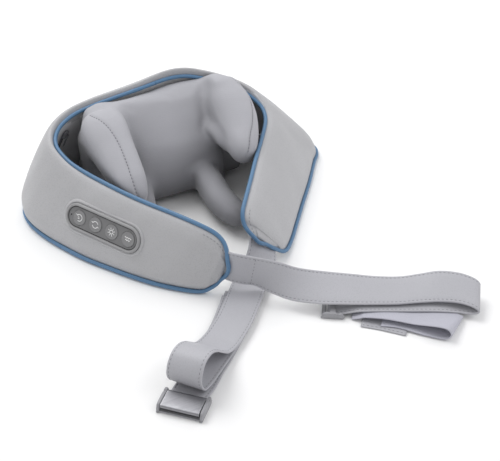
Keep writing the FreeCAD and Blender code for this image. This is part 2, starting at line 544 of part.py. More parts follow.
ELASTIC = [
 ((88,-153,1.2),(66.5,-184,1.2)),
 ((94,-159,3.4),(72,-189.5,3.6)),
 ((100,-164,4.7),(77,-193.5,5.0)),
 ((118,-179,4.7),(93,-207,5.8)),
 ((143,-202,4.7),(113,-226,6.4)),
 ((158,-221,4.5),(127,-243,8.6)),
 ((164.5,-231,4.9),(133.5,-252,7.8)),
 ((166.5,-234.5,3.6),(136,-255.5,4.6)),
 ((163,-231.5,2.6),(131.5,-252,1.9)),
 ((148,-214,2.5),(117,-237,1.9)),
 ((128,-194,2.45),(100,-217.5,2.4)),
 ((112,-181,2.4),(86,-207,2.4)),
]
ELASTIC_END = [
 ((93,-169,0.75),(69,-197,0.75)),
 ((108,-182,0.75),(83,-209.5,0.75)),
 ((128,-203,0.75),(101.5,-229,0.75)),
]
strap_left = ribbon(STRAP_LEFT, STRAP_T)
strap_right = ribbon(STRAP_RIGHT, STRAP_T)
strap_tail = ribbon(STRAP_TAIL, STRAP_T)
elastic = ribbon(ELASTIC, TAIL_T)
elastic_end = ribbon(ELASTIC_END, 1.3)

# ---------------------------------------------------------------- cam buckles
def local(o, l, w):
    l = unit(V(l[0], l[1], 0)); w = V(-l.y, l.x, 0)
    return FreeCAD.Matrix(l.x, w.x, 0, o[0], l.y, w.y, 0, o[1], 0, 0, 1, o[2], 0, 0, 0, 1)

def buckle(o, l):
    """x runs from the strap side to the open end, origin on the floor under the middle"""
    m = local(o, l, None)
    base = box(-11, 12, -19.5, 19.5, 0.0, 1.2)
    r1 = box(-12.5, 12.5, -22.4, -19.4, 0.0, 8.6)
    r2 = box(-12.5, 12.5, 19.4, 22.4, 0.0, 8.6)
    bar = box(9.0, 12.5, -19.5, 19.5, 0.0, 1.5)
    fr = base.fuse(r1).fuse(r2).fuse(bar)
    fr = fr.cut(cyl(1.2, (-8.5, -30, 6.4), (0, 1, 0), 60))
    fr = fr.removeSplitter()
    lev = box(-8.5, 11.8, -18.8, 18.8, 6.6, 8.4).fuse(cyl(2.0, (-8.5, -18.8, 6.4), (0, 1, 0), 37.6))
    lev = lev.fuse(box(10.0, 11.8, -18.8, 18.8, 5.0, 7.0))
    lev = lev.cut(cyl(1.25, (-8.5, -30, 6.4), (0, 1, 0), 60)).removeSplitter()
    pin = cyl(1.2, (-8.5, -22.4, 6.4), (0, 1, 0), 44.8)
    out = []
    for s in (fr, lev, pin):
        q = s.copy(); q.transformShape(m, True); out.append(q)
    return out
BR_O, BR_L = (-133.0, -217.0, 0.0), (-0.70, -0.715)
fr, lev, pin = buckle(BR_O, BR_L)
put("buckle_frame_right", fr); put("buckle_lever_right", lev); put("buckle_pin_right", pin)
BL_O, BL_L = (62.0, -154.6, 0.0), (-0.845, 0.535)
slide = box(-11, 11, -22.4, -19.4, 0.0, 7.0).fuse(box(-11, 11, 19.4, 22.4, 0.0, 7.0))
slide = slide.fuse(box(-11, -7, -19.5, 19.5, 0.0, 1.2)).fuse(box(-3, 3, -19.5, 19.5, 5.0, 7.0)).fuse(box(7, 11, -19.5, 19.5, 0.0, 1.2)).removeSplitter()
slide.transformShape(local(BL_O, BL_L, None), True)
put("strap_slide_left", slide)

arm_left_pad = arm_left_pad.cut(strap_left)
arm_right_pad = arm_right_pad.cut(strap_right)
put("strap_left", strap_left); put("strap_right", strap_right); put("strap_right_tail", strap_tail)
put("elastic_strap", elastic); put("elastic_end", elastic_end)

# ---------------------------------------------------------------- zipper on the inner lining, left of the pad
def lining_point(u, f, h):
    T, B, w, n, tan = frame_at(u)
    return B + (T-B)*f - n*h
ZU = 14.4
zs = []
for i in range(9):
    f = 0.30 + 0.58*i/8.0
    T, B, w, n, tan = frame_at(ZU)
    c = lining_point(ZU, f, BAND_IN+0.9)
    zs.append([c + tan*3.5 + n*0.6, c - tan*3.5 + n*0.6, c - tan*3.5 - n*0.6, c + tan*3.5 - n*0.6])
put("zipper_tape", skin(zs))
T, B, w, n, tan = frame_at(ZU)
zc = lining_point(ZU, 0.86, BAND_IN+0.9+2.9)
def oriented(shape, o, X, Y, Z):
    m = FreeCAD.Matrix(X.x, Y.x, Z.x, o.x, X.y, Y.y, Z.y, o.y, X.z, Y.z, Z.z, o.z, 0, 0, 0, 1)
    s = shape.copy(); s.transformShape(m, True); return s
ni = n*-1.0
wz = unit(w - n*(w.dot(n))); tz = unit(wz.cross(ni))
slider = Part.makeBox(6, 9, 2.6, V(-3, -4.5, -1.9)).fuse(Part.makeBox(1.2, 4.0, 2.2, V(-0.6, -2, 0.6))).cut(cyl(0.62, (-2, 0, 1.75), (1, 0, 0), 4))
put("zipper_slider", oriented(slider.removeSplitter(), zc, tz, wz, ni))
pull = cyl(0.55, (-1.7, 0, 1.75), (1, 0, 0), 3.4).fuse(Part.makeBox(3.4, 15, 1.1, V(-1.7, -15.0, 1.2)).cut(Part.makeBox(1.9, 4.0, 3, V(-0.95, -3.0, 0.5)))).removeSplitter()
put("zipper_pull", oriented(pull, zc, tz, wz, ni))
print("ZIP pivot", [round(q, 3) for q in (zc + ni*1.75)], "axis", [round(q, 5) for q in tz], "along", [round(q, 5) for q in wz])

# ---------------------------------------------------------------- piping
pl = pipe_path("top", 1.7, LEFT_SPLIT-gl*1.5, 30)
pb = pipe_path("bot", 2.2, LEFT_SPLIT-gl*1.5, 30)
put("piping_left_upper", tube(pl, PIPE_R)); put("piping_left_lower", tube(pb, PIPE_R))
pl = pipe_path("top", LEFT_SPLIT+gl*1.5, RIGHT_SPLIT-gr*1.5, 34)
pb = pipe_path("bot", LEFT_SPLIT+gl*1.5, RIGHT_SPLIT-gr*1.5, 34)
put("piping_back_upper", tube(pl, PIPE_R)); put("piping_back_lower", tube(pb, PIPE_R))
pl = pipe_path("top", RIGHT_SPLIT+gr*1.5, N_END-2.3, 26)
pb = pipe_path("bot", RIGHT_SPLIT+gr*1.5, N_END-3.0, 26)
put("piping_right_upper", tube(pl, PIPE_R)); put("piping_right_lower", tube(pb, PIPE_R))

put("arm_left_pad", arm_left_pad)
put("band_back", band_back)
put("arm_right_pad", arm_right_pad)

# ---------------------------------------------------------------- export
lo = [1e9]*3; hi = [-1e9]*3
for name, shape in sorted(NODES.items()):
    s = shape.copy()
    s.translate(V(SHIFT_X, SHIFT_Y, 0))
    bb = s.BoundBox
    lo = [min(a, b) for a, b in zip(lo, (bb.XMin, bb.YMin, bb.ZMin))]
    hi = [max(a, b) for a, b in zip(hi, (bb.XMax, bb.YMax, bb.ZMax))]
    s.exportStep("parts/%s.step" % name)
    ok = s.isValid() and all(q.isClosed() for q in s.Shells)
    print("%-24s vol %10.1f solids %d faces %4d ok %s  %s" % (name, s.Volume, len(s.Solids), len(s.Faces), ok, [round(q, 1) for q in (bb.XMin, bb.YMin, bb.ZMin, bb.XMax, bb.YMax, bb.ZMax)]))
print("BOX", [round(q, 2) for q in lo], [round(q, 2) for q in hi], "centre", round((lo[0]+hi[0])/2, 3), round((lo[1]+hi[1])/2, 3))
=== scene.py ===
import sys
import bpy, bmesh, json, math
import numpy as np
from mathutils import Vector, Matrix
from mathutils.bvhtree import BVHTree
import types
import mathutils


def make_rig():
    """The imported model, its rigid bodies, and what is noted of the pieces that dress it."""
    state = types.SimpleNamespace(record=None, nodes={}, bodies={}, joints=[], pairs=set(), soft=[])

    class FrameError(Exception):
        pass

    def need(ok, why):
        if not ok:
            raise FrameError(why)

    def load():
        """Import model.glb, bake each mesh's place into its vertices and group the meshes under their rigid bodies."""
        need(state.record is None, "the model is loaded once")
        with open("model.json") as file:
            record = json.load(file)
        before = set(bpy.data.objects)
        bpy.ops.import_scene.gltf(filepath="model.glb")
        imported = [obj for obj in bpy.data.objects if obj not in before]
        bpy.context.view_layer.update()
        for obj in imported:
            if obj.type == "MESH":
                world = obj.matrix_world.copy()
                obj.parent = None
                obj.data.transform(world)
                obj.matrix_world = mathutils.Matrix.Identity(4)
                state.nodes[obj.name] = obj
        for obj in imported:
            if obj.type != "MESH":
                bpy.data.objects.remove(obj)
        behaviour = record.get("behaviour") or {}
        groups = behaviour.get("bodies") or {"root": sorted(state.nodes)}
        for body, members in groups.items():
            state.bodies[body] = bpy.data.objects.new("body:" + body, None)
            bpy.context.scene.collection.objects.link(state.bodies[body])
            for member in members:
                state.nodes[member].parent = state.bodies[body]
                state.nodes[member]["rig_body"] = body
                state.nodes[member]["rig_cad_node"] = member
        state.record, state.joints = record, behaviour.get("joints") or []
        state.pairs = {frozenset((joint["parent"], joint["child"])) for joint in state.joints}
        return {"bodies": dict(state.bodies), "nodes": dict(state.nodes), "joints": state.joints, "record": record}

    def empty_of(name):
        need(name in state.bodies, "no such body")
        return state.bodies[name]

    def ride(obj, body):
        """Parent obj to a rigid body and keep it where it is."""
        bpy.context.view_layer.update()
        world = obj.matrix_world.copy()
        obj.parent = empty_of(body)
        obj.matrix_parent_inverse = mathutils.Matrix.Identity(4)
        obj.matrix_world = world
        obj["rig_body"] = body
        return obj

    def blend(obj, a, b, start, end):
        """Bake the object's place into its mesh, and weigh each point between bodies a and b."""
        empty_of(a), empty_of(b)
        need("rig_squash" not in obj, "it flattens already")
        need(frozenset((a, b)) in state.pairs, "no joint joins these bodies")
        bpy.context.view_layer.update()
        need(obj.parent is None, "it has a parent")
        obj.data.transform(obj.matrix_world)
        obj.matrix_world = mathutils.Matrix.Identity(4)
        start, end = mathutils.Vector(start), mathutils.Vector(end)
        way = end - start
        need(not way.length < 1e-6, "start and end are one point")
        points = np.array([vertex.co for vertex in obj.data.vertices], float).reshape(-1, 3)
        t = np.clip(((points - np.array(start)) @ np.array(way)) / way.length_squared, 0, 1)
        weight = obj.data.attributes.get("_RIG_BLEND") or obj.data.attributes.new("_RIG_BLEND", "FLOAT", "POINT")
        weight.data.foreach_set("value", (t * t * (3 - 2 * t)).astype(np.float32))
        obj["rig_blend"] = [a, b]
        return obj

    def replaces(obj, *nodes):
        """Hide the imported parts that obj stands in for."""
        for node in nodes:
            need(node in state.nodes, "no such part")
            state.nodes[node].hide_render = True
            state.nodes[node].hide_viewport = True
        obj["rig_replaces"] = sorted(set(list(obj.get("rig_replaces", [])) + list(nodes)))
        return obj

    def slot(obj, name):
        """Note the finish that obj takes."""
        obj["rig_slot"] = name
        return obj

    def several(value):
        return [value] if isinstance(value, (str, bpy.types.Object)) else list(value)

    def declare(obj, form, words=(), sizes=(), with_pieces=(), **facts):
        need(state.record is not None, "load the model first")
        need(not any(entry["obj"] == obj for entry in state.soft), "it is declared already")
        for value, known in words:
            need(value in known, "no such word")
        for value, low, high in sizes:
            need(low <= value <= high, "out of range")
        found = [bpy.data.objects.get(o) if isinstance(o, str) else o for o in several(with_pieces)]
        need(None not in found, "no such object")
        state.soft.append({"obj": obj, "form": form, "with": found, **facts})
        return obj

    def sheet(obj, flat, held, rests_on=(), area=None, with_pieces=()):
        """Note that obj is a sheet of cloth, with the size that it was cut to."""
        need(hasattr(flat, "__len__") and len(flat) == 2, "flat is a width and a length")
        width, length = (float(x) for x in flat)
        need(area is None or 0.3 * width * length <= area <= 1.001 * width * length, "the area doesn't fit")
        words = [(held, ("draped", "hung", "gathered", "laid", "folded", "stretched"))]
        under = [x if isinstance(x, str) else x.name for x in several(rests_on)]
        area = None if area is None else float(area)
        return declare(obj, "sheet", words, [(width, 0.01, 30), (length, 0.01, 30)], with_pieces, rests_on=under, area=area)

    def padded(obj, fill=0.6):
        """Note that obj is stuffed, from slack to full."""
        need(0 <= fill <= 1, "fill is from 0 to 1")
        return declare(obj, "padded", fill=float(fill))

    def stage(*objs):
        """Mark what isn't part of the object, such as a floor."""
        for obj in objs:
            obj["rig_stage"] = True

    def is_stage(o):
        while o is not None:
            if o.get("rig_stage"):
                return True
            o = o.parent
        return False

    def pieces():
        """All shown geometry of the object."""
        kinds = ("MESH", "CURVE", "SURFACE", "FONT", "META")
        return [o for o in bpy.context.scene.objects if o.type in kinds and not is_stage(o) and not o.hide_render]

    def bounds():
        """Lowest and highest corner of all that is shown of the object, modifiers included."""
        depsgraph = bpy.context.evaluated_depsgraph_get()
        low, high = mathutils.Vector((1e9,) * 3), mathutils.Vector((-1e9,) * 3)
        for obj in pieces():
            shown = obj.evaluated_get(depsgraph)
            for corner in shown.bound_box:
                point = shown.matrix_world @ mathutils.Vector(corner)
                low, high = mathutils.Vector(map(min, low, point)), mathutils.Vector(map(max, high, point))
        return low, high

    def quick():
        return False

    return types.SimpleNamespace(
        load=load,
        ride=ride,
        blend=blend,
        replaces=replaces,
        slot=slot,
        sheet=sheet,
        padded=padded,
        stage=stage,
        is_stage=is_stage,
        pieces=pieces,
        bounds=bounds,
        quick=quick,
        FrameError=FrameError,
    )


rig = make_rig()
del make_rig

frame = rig.load()
CAD_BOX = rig.bounds()
V = Vector
NODES = frame["nodes"]
SX, SY = -13.148, 10.868            # design frame (mm) to row frame

def mm(p):
    return V(((p[0]+SX)/1000.0, (p[1]+SY)/1000.0, p[2]/1000.0))

# ------------------------------------------------------------------ camera
cam = bpy.data.cameras.new("camera"); cam.lens = 70.2; cam.sensor_width = 36.0; cam.sensor_fit = "HORIZONTAL"
cam.clip_start = 0.01; cam.clip_end = 50
cam_o = bpy.data.objects.new("camera", cam); bpy.context.scene.collection.objects.link(cam_o)
cam_o.location = (-0.375835, -0.789264, 0.652442)
cam_o.rotation_euler = (V((0.031852, 0.010868, 0.0)) - cam_o.location).to_track_quat("-Z", "Y").to_euler()
bpy.context.scene.camera = cam_o

# ------------------------------------------------------------------ routes shared with the CAD (mm, design frame)

SEAMS = [
 ((-25.4,-85.9,38),(-27.9,-82.2,22)),
 ((-23.3,-83.3,48),(-34.8,-81.3,11)),
 ((-25.6,-78.5,58),(-41.9,-78.0,4.5)),
 ((-32.2,-69.8,66),(-51,-74.5,0.8)),
 ((-44.8,-53.4,71),(-66,-63.5,0.8)),
 ((-60.7,-27.9,73),(-86,-44,0.8)),
 ((-77.4,-2.8,75),(-104,-21,0.8)),
 ((-91.5,20.4,77),(-121,4,0.8)),
 ((-104.5,45.1,79),(-139,32,0.8)),
 ((-117.3,71.8,81),(-153,60.5,0.8)),
 ((-128.0,95.5,84.5),(-164,87,0.8)),
 ((-134,117,90),(-171,111,0.8)),
 ((-133.5,130,94),(-173.5,131,0.8)),
 ((-128,142,98),(-171,152,0.8)),
 ((-117,151.5,103),(-160,173,0.8)),
 ((-99,160,107),(-141,194,0.8)),
 ((-75,161.3,112),(-112,214,0.8)),
 ((-47,158,118),(-68,225,0.8)),
 ((-16,158,122),(-22,230,0.8)),
 ((16,161,124.5),(24,230,0.8)),
 ((39,158,124.5),(66,225,0.8)),
 ((60,151,120),(104,214,0.8)),
 ((82,143,112),(140,197,0.8)),
 ((101,134,103),(170,174,0.8)),
 ((112,126,95),(189,150,0.8)),
 ((118,115,88),(198,126,0.8)),
 ((118.3,104,83),(194,108,0.8)),
 ((111,86.7,79),(180,91,0.8)),
 ((91.3,59,75),(152,54,0.8)),
 ((69.3,30,72),(124,20,0.8)),
 ((46,-2.5,69),(98,-12,0.8)),
 ((25,-31,66),(76,-39,0.8)),
 ((14.4,-45.4,61),(60,-56.4,3.5)),
 ((12.6,-52.1,52),(49.5,-60.5,9)),
 ((14.9,-59.9,44),(36.9,-64.4,20)),
 ((19,-61.5,38),(27.5,-62.5,29)),
]

STRAP_LEFT = [
 ((-40,-66,51),(-42,-67,15)),
 ((-27.5,-88,53),(-29,-89,17)),
 ((-12,-99,52),(-16,-98.5,16)),
 ((3,-109,49.5),(-2.9,-106,14)),
 ((20,-116,43.5),(7.5,-124,12.6)),
 ((38,-122.5,34.5),(20.5,-143,12.4)),
 ((63,-129.5,26),(41.5,-160,12.8)),
 ((87,-141.5,22.5),(63.5,-172.5,13)),
 ((111,-153.5,19),(88.5,-185.5,13)),
 ((134.5,-165,18),(111,-196.5,13)),
 ((155,-173,20),(130.5,-204.5,13.5)),
 ((172,-182,24),(149.5,-213,14)),
 ((188,-194,24.5),(166,-224,14.5)),
 ((199,-206,22),(176.5,-235.5,13.5)),
 ((203,-211.5,16.5),(180.5,-241,10)),
 ((199,-209.5,10.5),(177,-239,6.6)),
 ((188,-201,8.6),(166,-231,6.4)),
 ((165,-188.5,8.9),(143.5,-219.5,8.2)),
 ((134,-173,8.9),(112.5,-204,8.6)),
 ((106,-158.5,8.6),(84.5,-189.5,8.4)),
 ((94,-151.7,7.4),(72.5,-182.7,7.4)),
 ((81,-144.3,3.4),(60.5,-175.1,3.4)),
 ((74,-140.2,2.7),(53.5,-171,2.7)),
 ((68,-136.5,2.6),(47.5,-167.3,2.6)),
]

STRAP_RIGHT = [
 ((20,-46,42),(48,-47,18)),
 ((14,-62,36),(42,-68,14)),
 ((5,-68,22.5),(35,-81,9)),
 ((-5,-72,12),(25,-93.5,8)),
 ((-19,-84,8),(9.5,-107.5,8)),
 ((-35,-102,7.6),(-8.5,-128,7.6)),
 ((-53,-122,7.2),(-28,-149,7.2)),
 ((-69,-136,7),(-46,-165,7)),
 ((-80,-144.5,7.4),(-57,-173.5,7.4)),
 ((-92,-153.5,11),(-69,-182.8,12.5)),
 ((-101,-160.5,20),(-78.5,-190,22.5)),
 ((-110,-167.5,30.5),(-87.5,-197,33.5)),
 ((-119,-174.5,36.8),(-96.5,-204,41)),
 ((-128,-181.5,37),(-105.5,-211,42)),
 ((-134.5,-186.6,31),(-112,-216.1,36)),
 ((-137.3,-188.8,22),(-114.8,-218.3,26)),
 ((-135.5,-187.4,13),(-113,-216.9,15)),
 ((-130,-183,6.5),(-107.5,-212.5,7)),
 ((-119,-174.5,4.3),(-96.5,-204,4.4)),
 ((-104,-163,4.1),(-80.5,-191.5,4.1)),
 ((-86,-149,4.1),(-61.5,-176.5,4.1)),
 ((-67,-131.5,4.1),(-41.5,-158,4.1)),
 ((-50,-112,4.1),(-23.5,-138,4.1)),
 ((-36,-94.5,4.1),(-9,-120,4.1)),
]

STRAP_TAIL = [
 ((-28,-86,1.3),(0,-110.5,1.3)),
 ((-41,-102,1.25),(-14.8,-128,1.25)),
 ((-58,-122,1.25),(-33,-149.5,1.25)),
 ((-75,-139,1.25),(-51.4,-167.5,1.25)),
 ((-90,-153,1.25),(-66.7,-181.8,1.25)),
 ((-104,-164.5,1.25),(-81,-193.8,1.25)),
 ((-117,-177,1.25),(-92,-204.3,1.25)),
 ((-126.5,-185.5,1.5),(-100.8,-212.0,1.5)),
 ((-135.4,-193.7,2.7),(-109.6,-219.2,2.7)),
 ((-143.2,-201.7,2.8),(-117.4,-227.2,2.8)),
 ((-149.5,-208.1,2.8),(-123.7,-233.6,2.8)),
]

ELASTIC = [
 ((88,-153,1.2),(66.5,-184,1.2)),
 ((94,-159,3.4),(72,-189.5,3.6)),
 ((100,-164,4.7),(77,-193.5,5.0)),
 ((118,-179,4.7),(93,-207,5.8)),
 ((143,-202,4.7),(113,-226,6.4)),
 ((158,-221,4.5),(127,-243,8.6)),
 ((164.5,-231,4.9),(133.5,-252,7.8)),
 ((166.5,-234.5,3.6),(136,-255.5,4.6)),
 ((163,-231.5,2.6),(131.5,-252,1.9)),
 ((148,-214,2.5),(117,-237,1.9)),
 ((128,-194,2.45),(100,-217.5,2.4)),
 ((112,-181,2.4),(86,-207,2.4)),
]

ELASTIC_END = [
 ((93,-169,0.75),(69,-197,0.75)),
 ((108,-182,0.75),(83,-209.5,0.75)),
 ((128,-203,0.75),(101.5,-229,0.75)),
]

# ------------------------------------------------------------------ curves and stations
def catmull(p, i, t):
    n = len(p)
    p1, p2 = p[i], p[min(i+1, n-1)]
    p0 = p[i-1] if i > 0 else p1*2 - p2
    p3 = p[i+2] if i+2 <= n-1 else p2*2 - p1
    return (p1*2 + (p2-p0)*t + (p0*2 - p1*5 + p2*4 - p3)*(t*t) + (p1*3 - p0 - p2*3 + p3)*(t*t*t))*0.5

def at(p, u):
    u = max(0.0, min(len(p)-1.000001, u)); i = int(u)
    return catmull(p, i, u-i)

def ramp(x, a, b):
    t = max(0.0, min(1.0, (x-a)/(b-a)))
    return t*t*(3-2*t)

TOPS = [V(a) for a, b in SEAMS]
BOTS = [V(b) for a, b in SEAMS]
N_END = len(SEAMS)-1
BAND_IN, BAND_OUT, BACK_OUT, PIPE_R = 4.0, 8.0, 13.0, 2.25

def frame_at(u):
    T, B = at(TOPS, u), at(BOTS, u); e = 0.05
    tan = ((at(TOPS, u+e)+at(BOTS, u+e)) - (at(TOPS, u-e)+at(BOTS, u-e))).normalized()
    w = (T-B).normalized()
    return T, B, w, w.cross(tan).normalized(), tan

def crown(u):
    k = ramp(u, 8.5, 12.0)*(1.0 - ramp(u, 23.5, 27.0))
    return BAND_OUT + (BACK_OUT-BAND_OUT)*k, k

# ------------------------------------------------------------------ mesh helpers
def make(name, verts, faces, mat=None, uvs=None, smooth=True, scale=True):
    """a mesh object from design-frame millimetres"""
    me = bpy.data.meshes.new(name)
    me.from_pydata([mm(v) if scale else v for v in verts], [], faces)
    if uvs:
        lay = me.uv_layers.new(name="UV")
        for poly in me.polygons:
            for li in poly.loop_indices:
                lay.data[li].uv = uvs[me.loops[li].vertex_index]
    if smooth:
        for p in me.polygons: p.use_smooth = True
    me.update(); me.validate()
    o = bpy.data.objects.new(name, me)
    bpy.context.scene.collection.objects.link(o)
    if mat: me.materials.append(mat)
    return o

def fix_normals(o):
    bm = bmesh.new(); bm.from_mesh(o.data)
    bmesh.ops.recalc_face_normals(bm, faces=bm.faces)
    bm.to_mesh(o.data); bm.free()

def grid_faces(n, m, closed=True, base=0):
    f = []
    for i in range(n-1):
        for j in range(m if closed else m-1):
            k = (j+1) % m
            f.append((base+i*m+j, base+i*m+k, base+(i+1)*m+k, base+(i+1)*m+j))
    return f

def split_parts(name, verts, faces, region, mat, k):
    """cut one mesh into k objects by region(centre); shading normals are those of the whole"""
    me = bpy.data.meshes.new(name+"_whole"); me.from_pydata(verts, [], faces); me.update()
    bm = bmesh.new(); bm.from_mesh(me); bmesh.ops.recalc_face_normals(bm, faces=bm.faces); bm.to_mesh(me); bm.free(); me.update()
    nrm = [v.normal.copy() for v in me.vertices]
    out = []
    tag = [region(p.center*1000.0) for p in me.polygons]
    for r in range(k):
        ids, vs, fs, ns = {}, [], [], []
        for p, t in zip(me.polygons, tag):
            if t != r: continue
            f = []
            for vi in p.vertices:
                if vi not in ids:
                    ids[vi] = len(vs); vs.append(me.vertices[vi].co.copy()); ns.append(nrm[vi])
                f.append(ids[vi])
            fs.append(f)
        m = bpy.data.meshes.new("%s_%d" % (name, r)); m.from_pydata(vs, [], fs); m.update()
        for p in m.polygons: p.use_smooth = True
        m.normals_split_custom_set_from_vertices([tuple(n) for n in ns])
        o = bpy.data.objects.new("%s_%d" % (name, r), m); bpy.context.scene.collection.objects.link(o)
        if mat: m.materials.append(mat)
        out.append(o)
    bpy.data.meshes.remove(me)
    return out

def tube_rings(points, r, n=14, squash_z=None):
    rings = []; up = None
    for i, p in enumerate(points):
        t = (points[min(i+1, len(points)-1)]-points[max(i-1, 0)]).normalized()
        ref = V((0, 0, 1)) if abs(t.z) < 0.9 else V((1, 0, 0))
        s = t.cross(ref).normalized() if up is None else (up - t*up.dot(t)).normalized()
        up = s; q = t.cross(s).normalized()
        rings.append([p + s*(r*math.cos(2*math.pi*k/n)) + q*(r*math.sin(2*math.pi*k/n)) for k in range(n)])
    return rings

def ring_mesh(rings):
    m = len(rings[0]); v = [p for r in rings for p in r]; f = grid_faces(len(rings), m)
    for base, rev in ((0, True), ((len(rings)-1)*m, False)):
        c = V((0, 0, 0))
        for j in range(m): c += v[base+j]
        v.append(c/m); ci = len(v)-1
        for j in range(m):
            k = (j+1) % m
            f.append((base+k, base+j, ci) if rev else (base+j, base+k, ci))
    return v, f

def stitches(name, runs, mat, length=3.1, pitch=4.6, r=0.33, lift=0.0):
    """runs: lists of (point, normal) sampled along a seam, in mm"""
    verts, faces = [], []
    for run in runs:
        acc = [0.0]
        for a, b in zip(run[:-1], run[1:]): acc.append(acc[-1] + (b[0]-a[0]).length)
        def pos(s):
            for i in range(len(acc)-1):
                if s <= acc[i+1] or i == len(acc)-2:
                    t = (s-acc[i])/max(1e-6, acc[i+1]-acc[i]); t = max(0.0, min(1.0, t))
                    return run[i][0].lerp(run[i+1][0], t), run[i][1].lerp(run[i+1][1], t).normalized()
        s = pitch*0.3
        while s + length < acc[-1]:
            cs = []
            for q, dz, rr in ((0.0, -0.35, 0.45), (0.12, -0.02, 0.9), (0.5, 0.16, 1.0), (0.88, -0.02, 0.9), (1.0, -0.35, 0.45)):
                p, n = pos(s+length*q)
                cs.append((p + n*(dz + lift), n, rr*r))
            t = (cs[-1][0]-cs[0][0]).normalized()
            base = len(verts); m = 6
            for p, n, rr in cs:
                side = t.cross(n).normalized()
                for k in range(m):
                    a = 2*math.pi*k/m
                    verts.append(p + side*(rr*math.cos(a)) + n*(rr*0.8*math.sin(a)))
            faces += grid_faces(5, m, base=base)
            faces.append([base+k for k in range(m)][::-1]); faces.append([base+4*m+k for k in range(m)])
            s += pitch
    return make(name, verts, faces, mat)

def rounded(bm_fn, loc, width, segments=2):
    """vertices and faces from a bmesh builder, bevelled, placed with matrix loc (mm)"""
    bm = bmesh.new(); bm_fn(bm)
    bmesh.ops.bevel(bm, geom=[e for e in bm.edges if e.calc_face_angle(0) > 0.5], offset=width, segments=segments, profile=0.7, affect="EDGES", clamp_overlap=True)
    bmesh.ops.recalc_face_normals(bm, faces=bm.faces)
    vs = [loc @ v.co for v in bm.verts]; bm.verts.index_update()
    fs = [[v.index for v in f.verts] for f in bm.faces]
    bm.free()
    return vs, fs

def bm_box(bm, x0, x1, y0, y1, z0, z1):
    r = bmesh.ops.create_cube(bm, size=1.0)
    for v in r["verts"]:
        v.co = V(((x0+x1)/2 + v.co.x*(x1-x0), (y0+y1)/2 + v.co.y*(y1-y0), (z0+z1)/2 + v.co.z*(z1-z0)))

def auto_smooth(o, deg=35):
    me = o.data
    for p in me.polygons: p.use_smooth = True
    bm = bmesh.new(); bm.from_mesh(me)
    for e in bm.edges:
        e.smooth = not (len(e.link_faces) == 2 and e.calc_face_angle(0) > math.radians(deg))
    bm.to_mesh(me); bm.free()

# ------------------------------------------------------------------ materials
def lin(h):
    c = h/255.0
    return c/12.92 if c <= 0.04045 else ((c+0.055)/1.055)**2.4

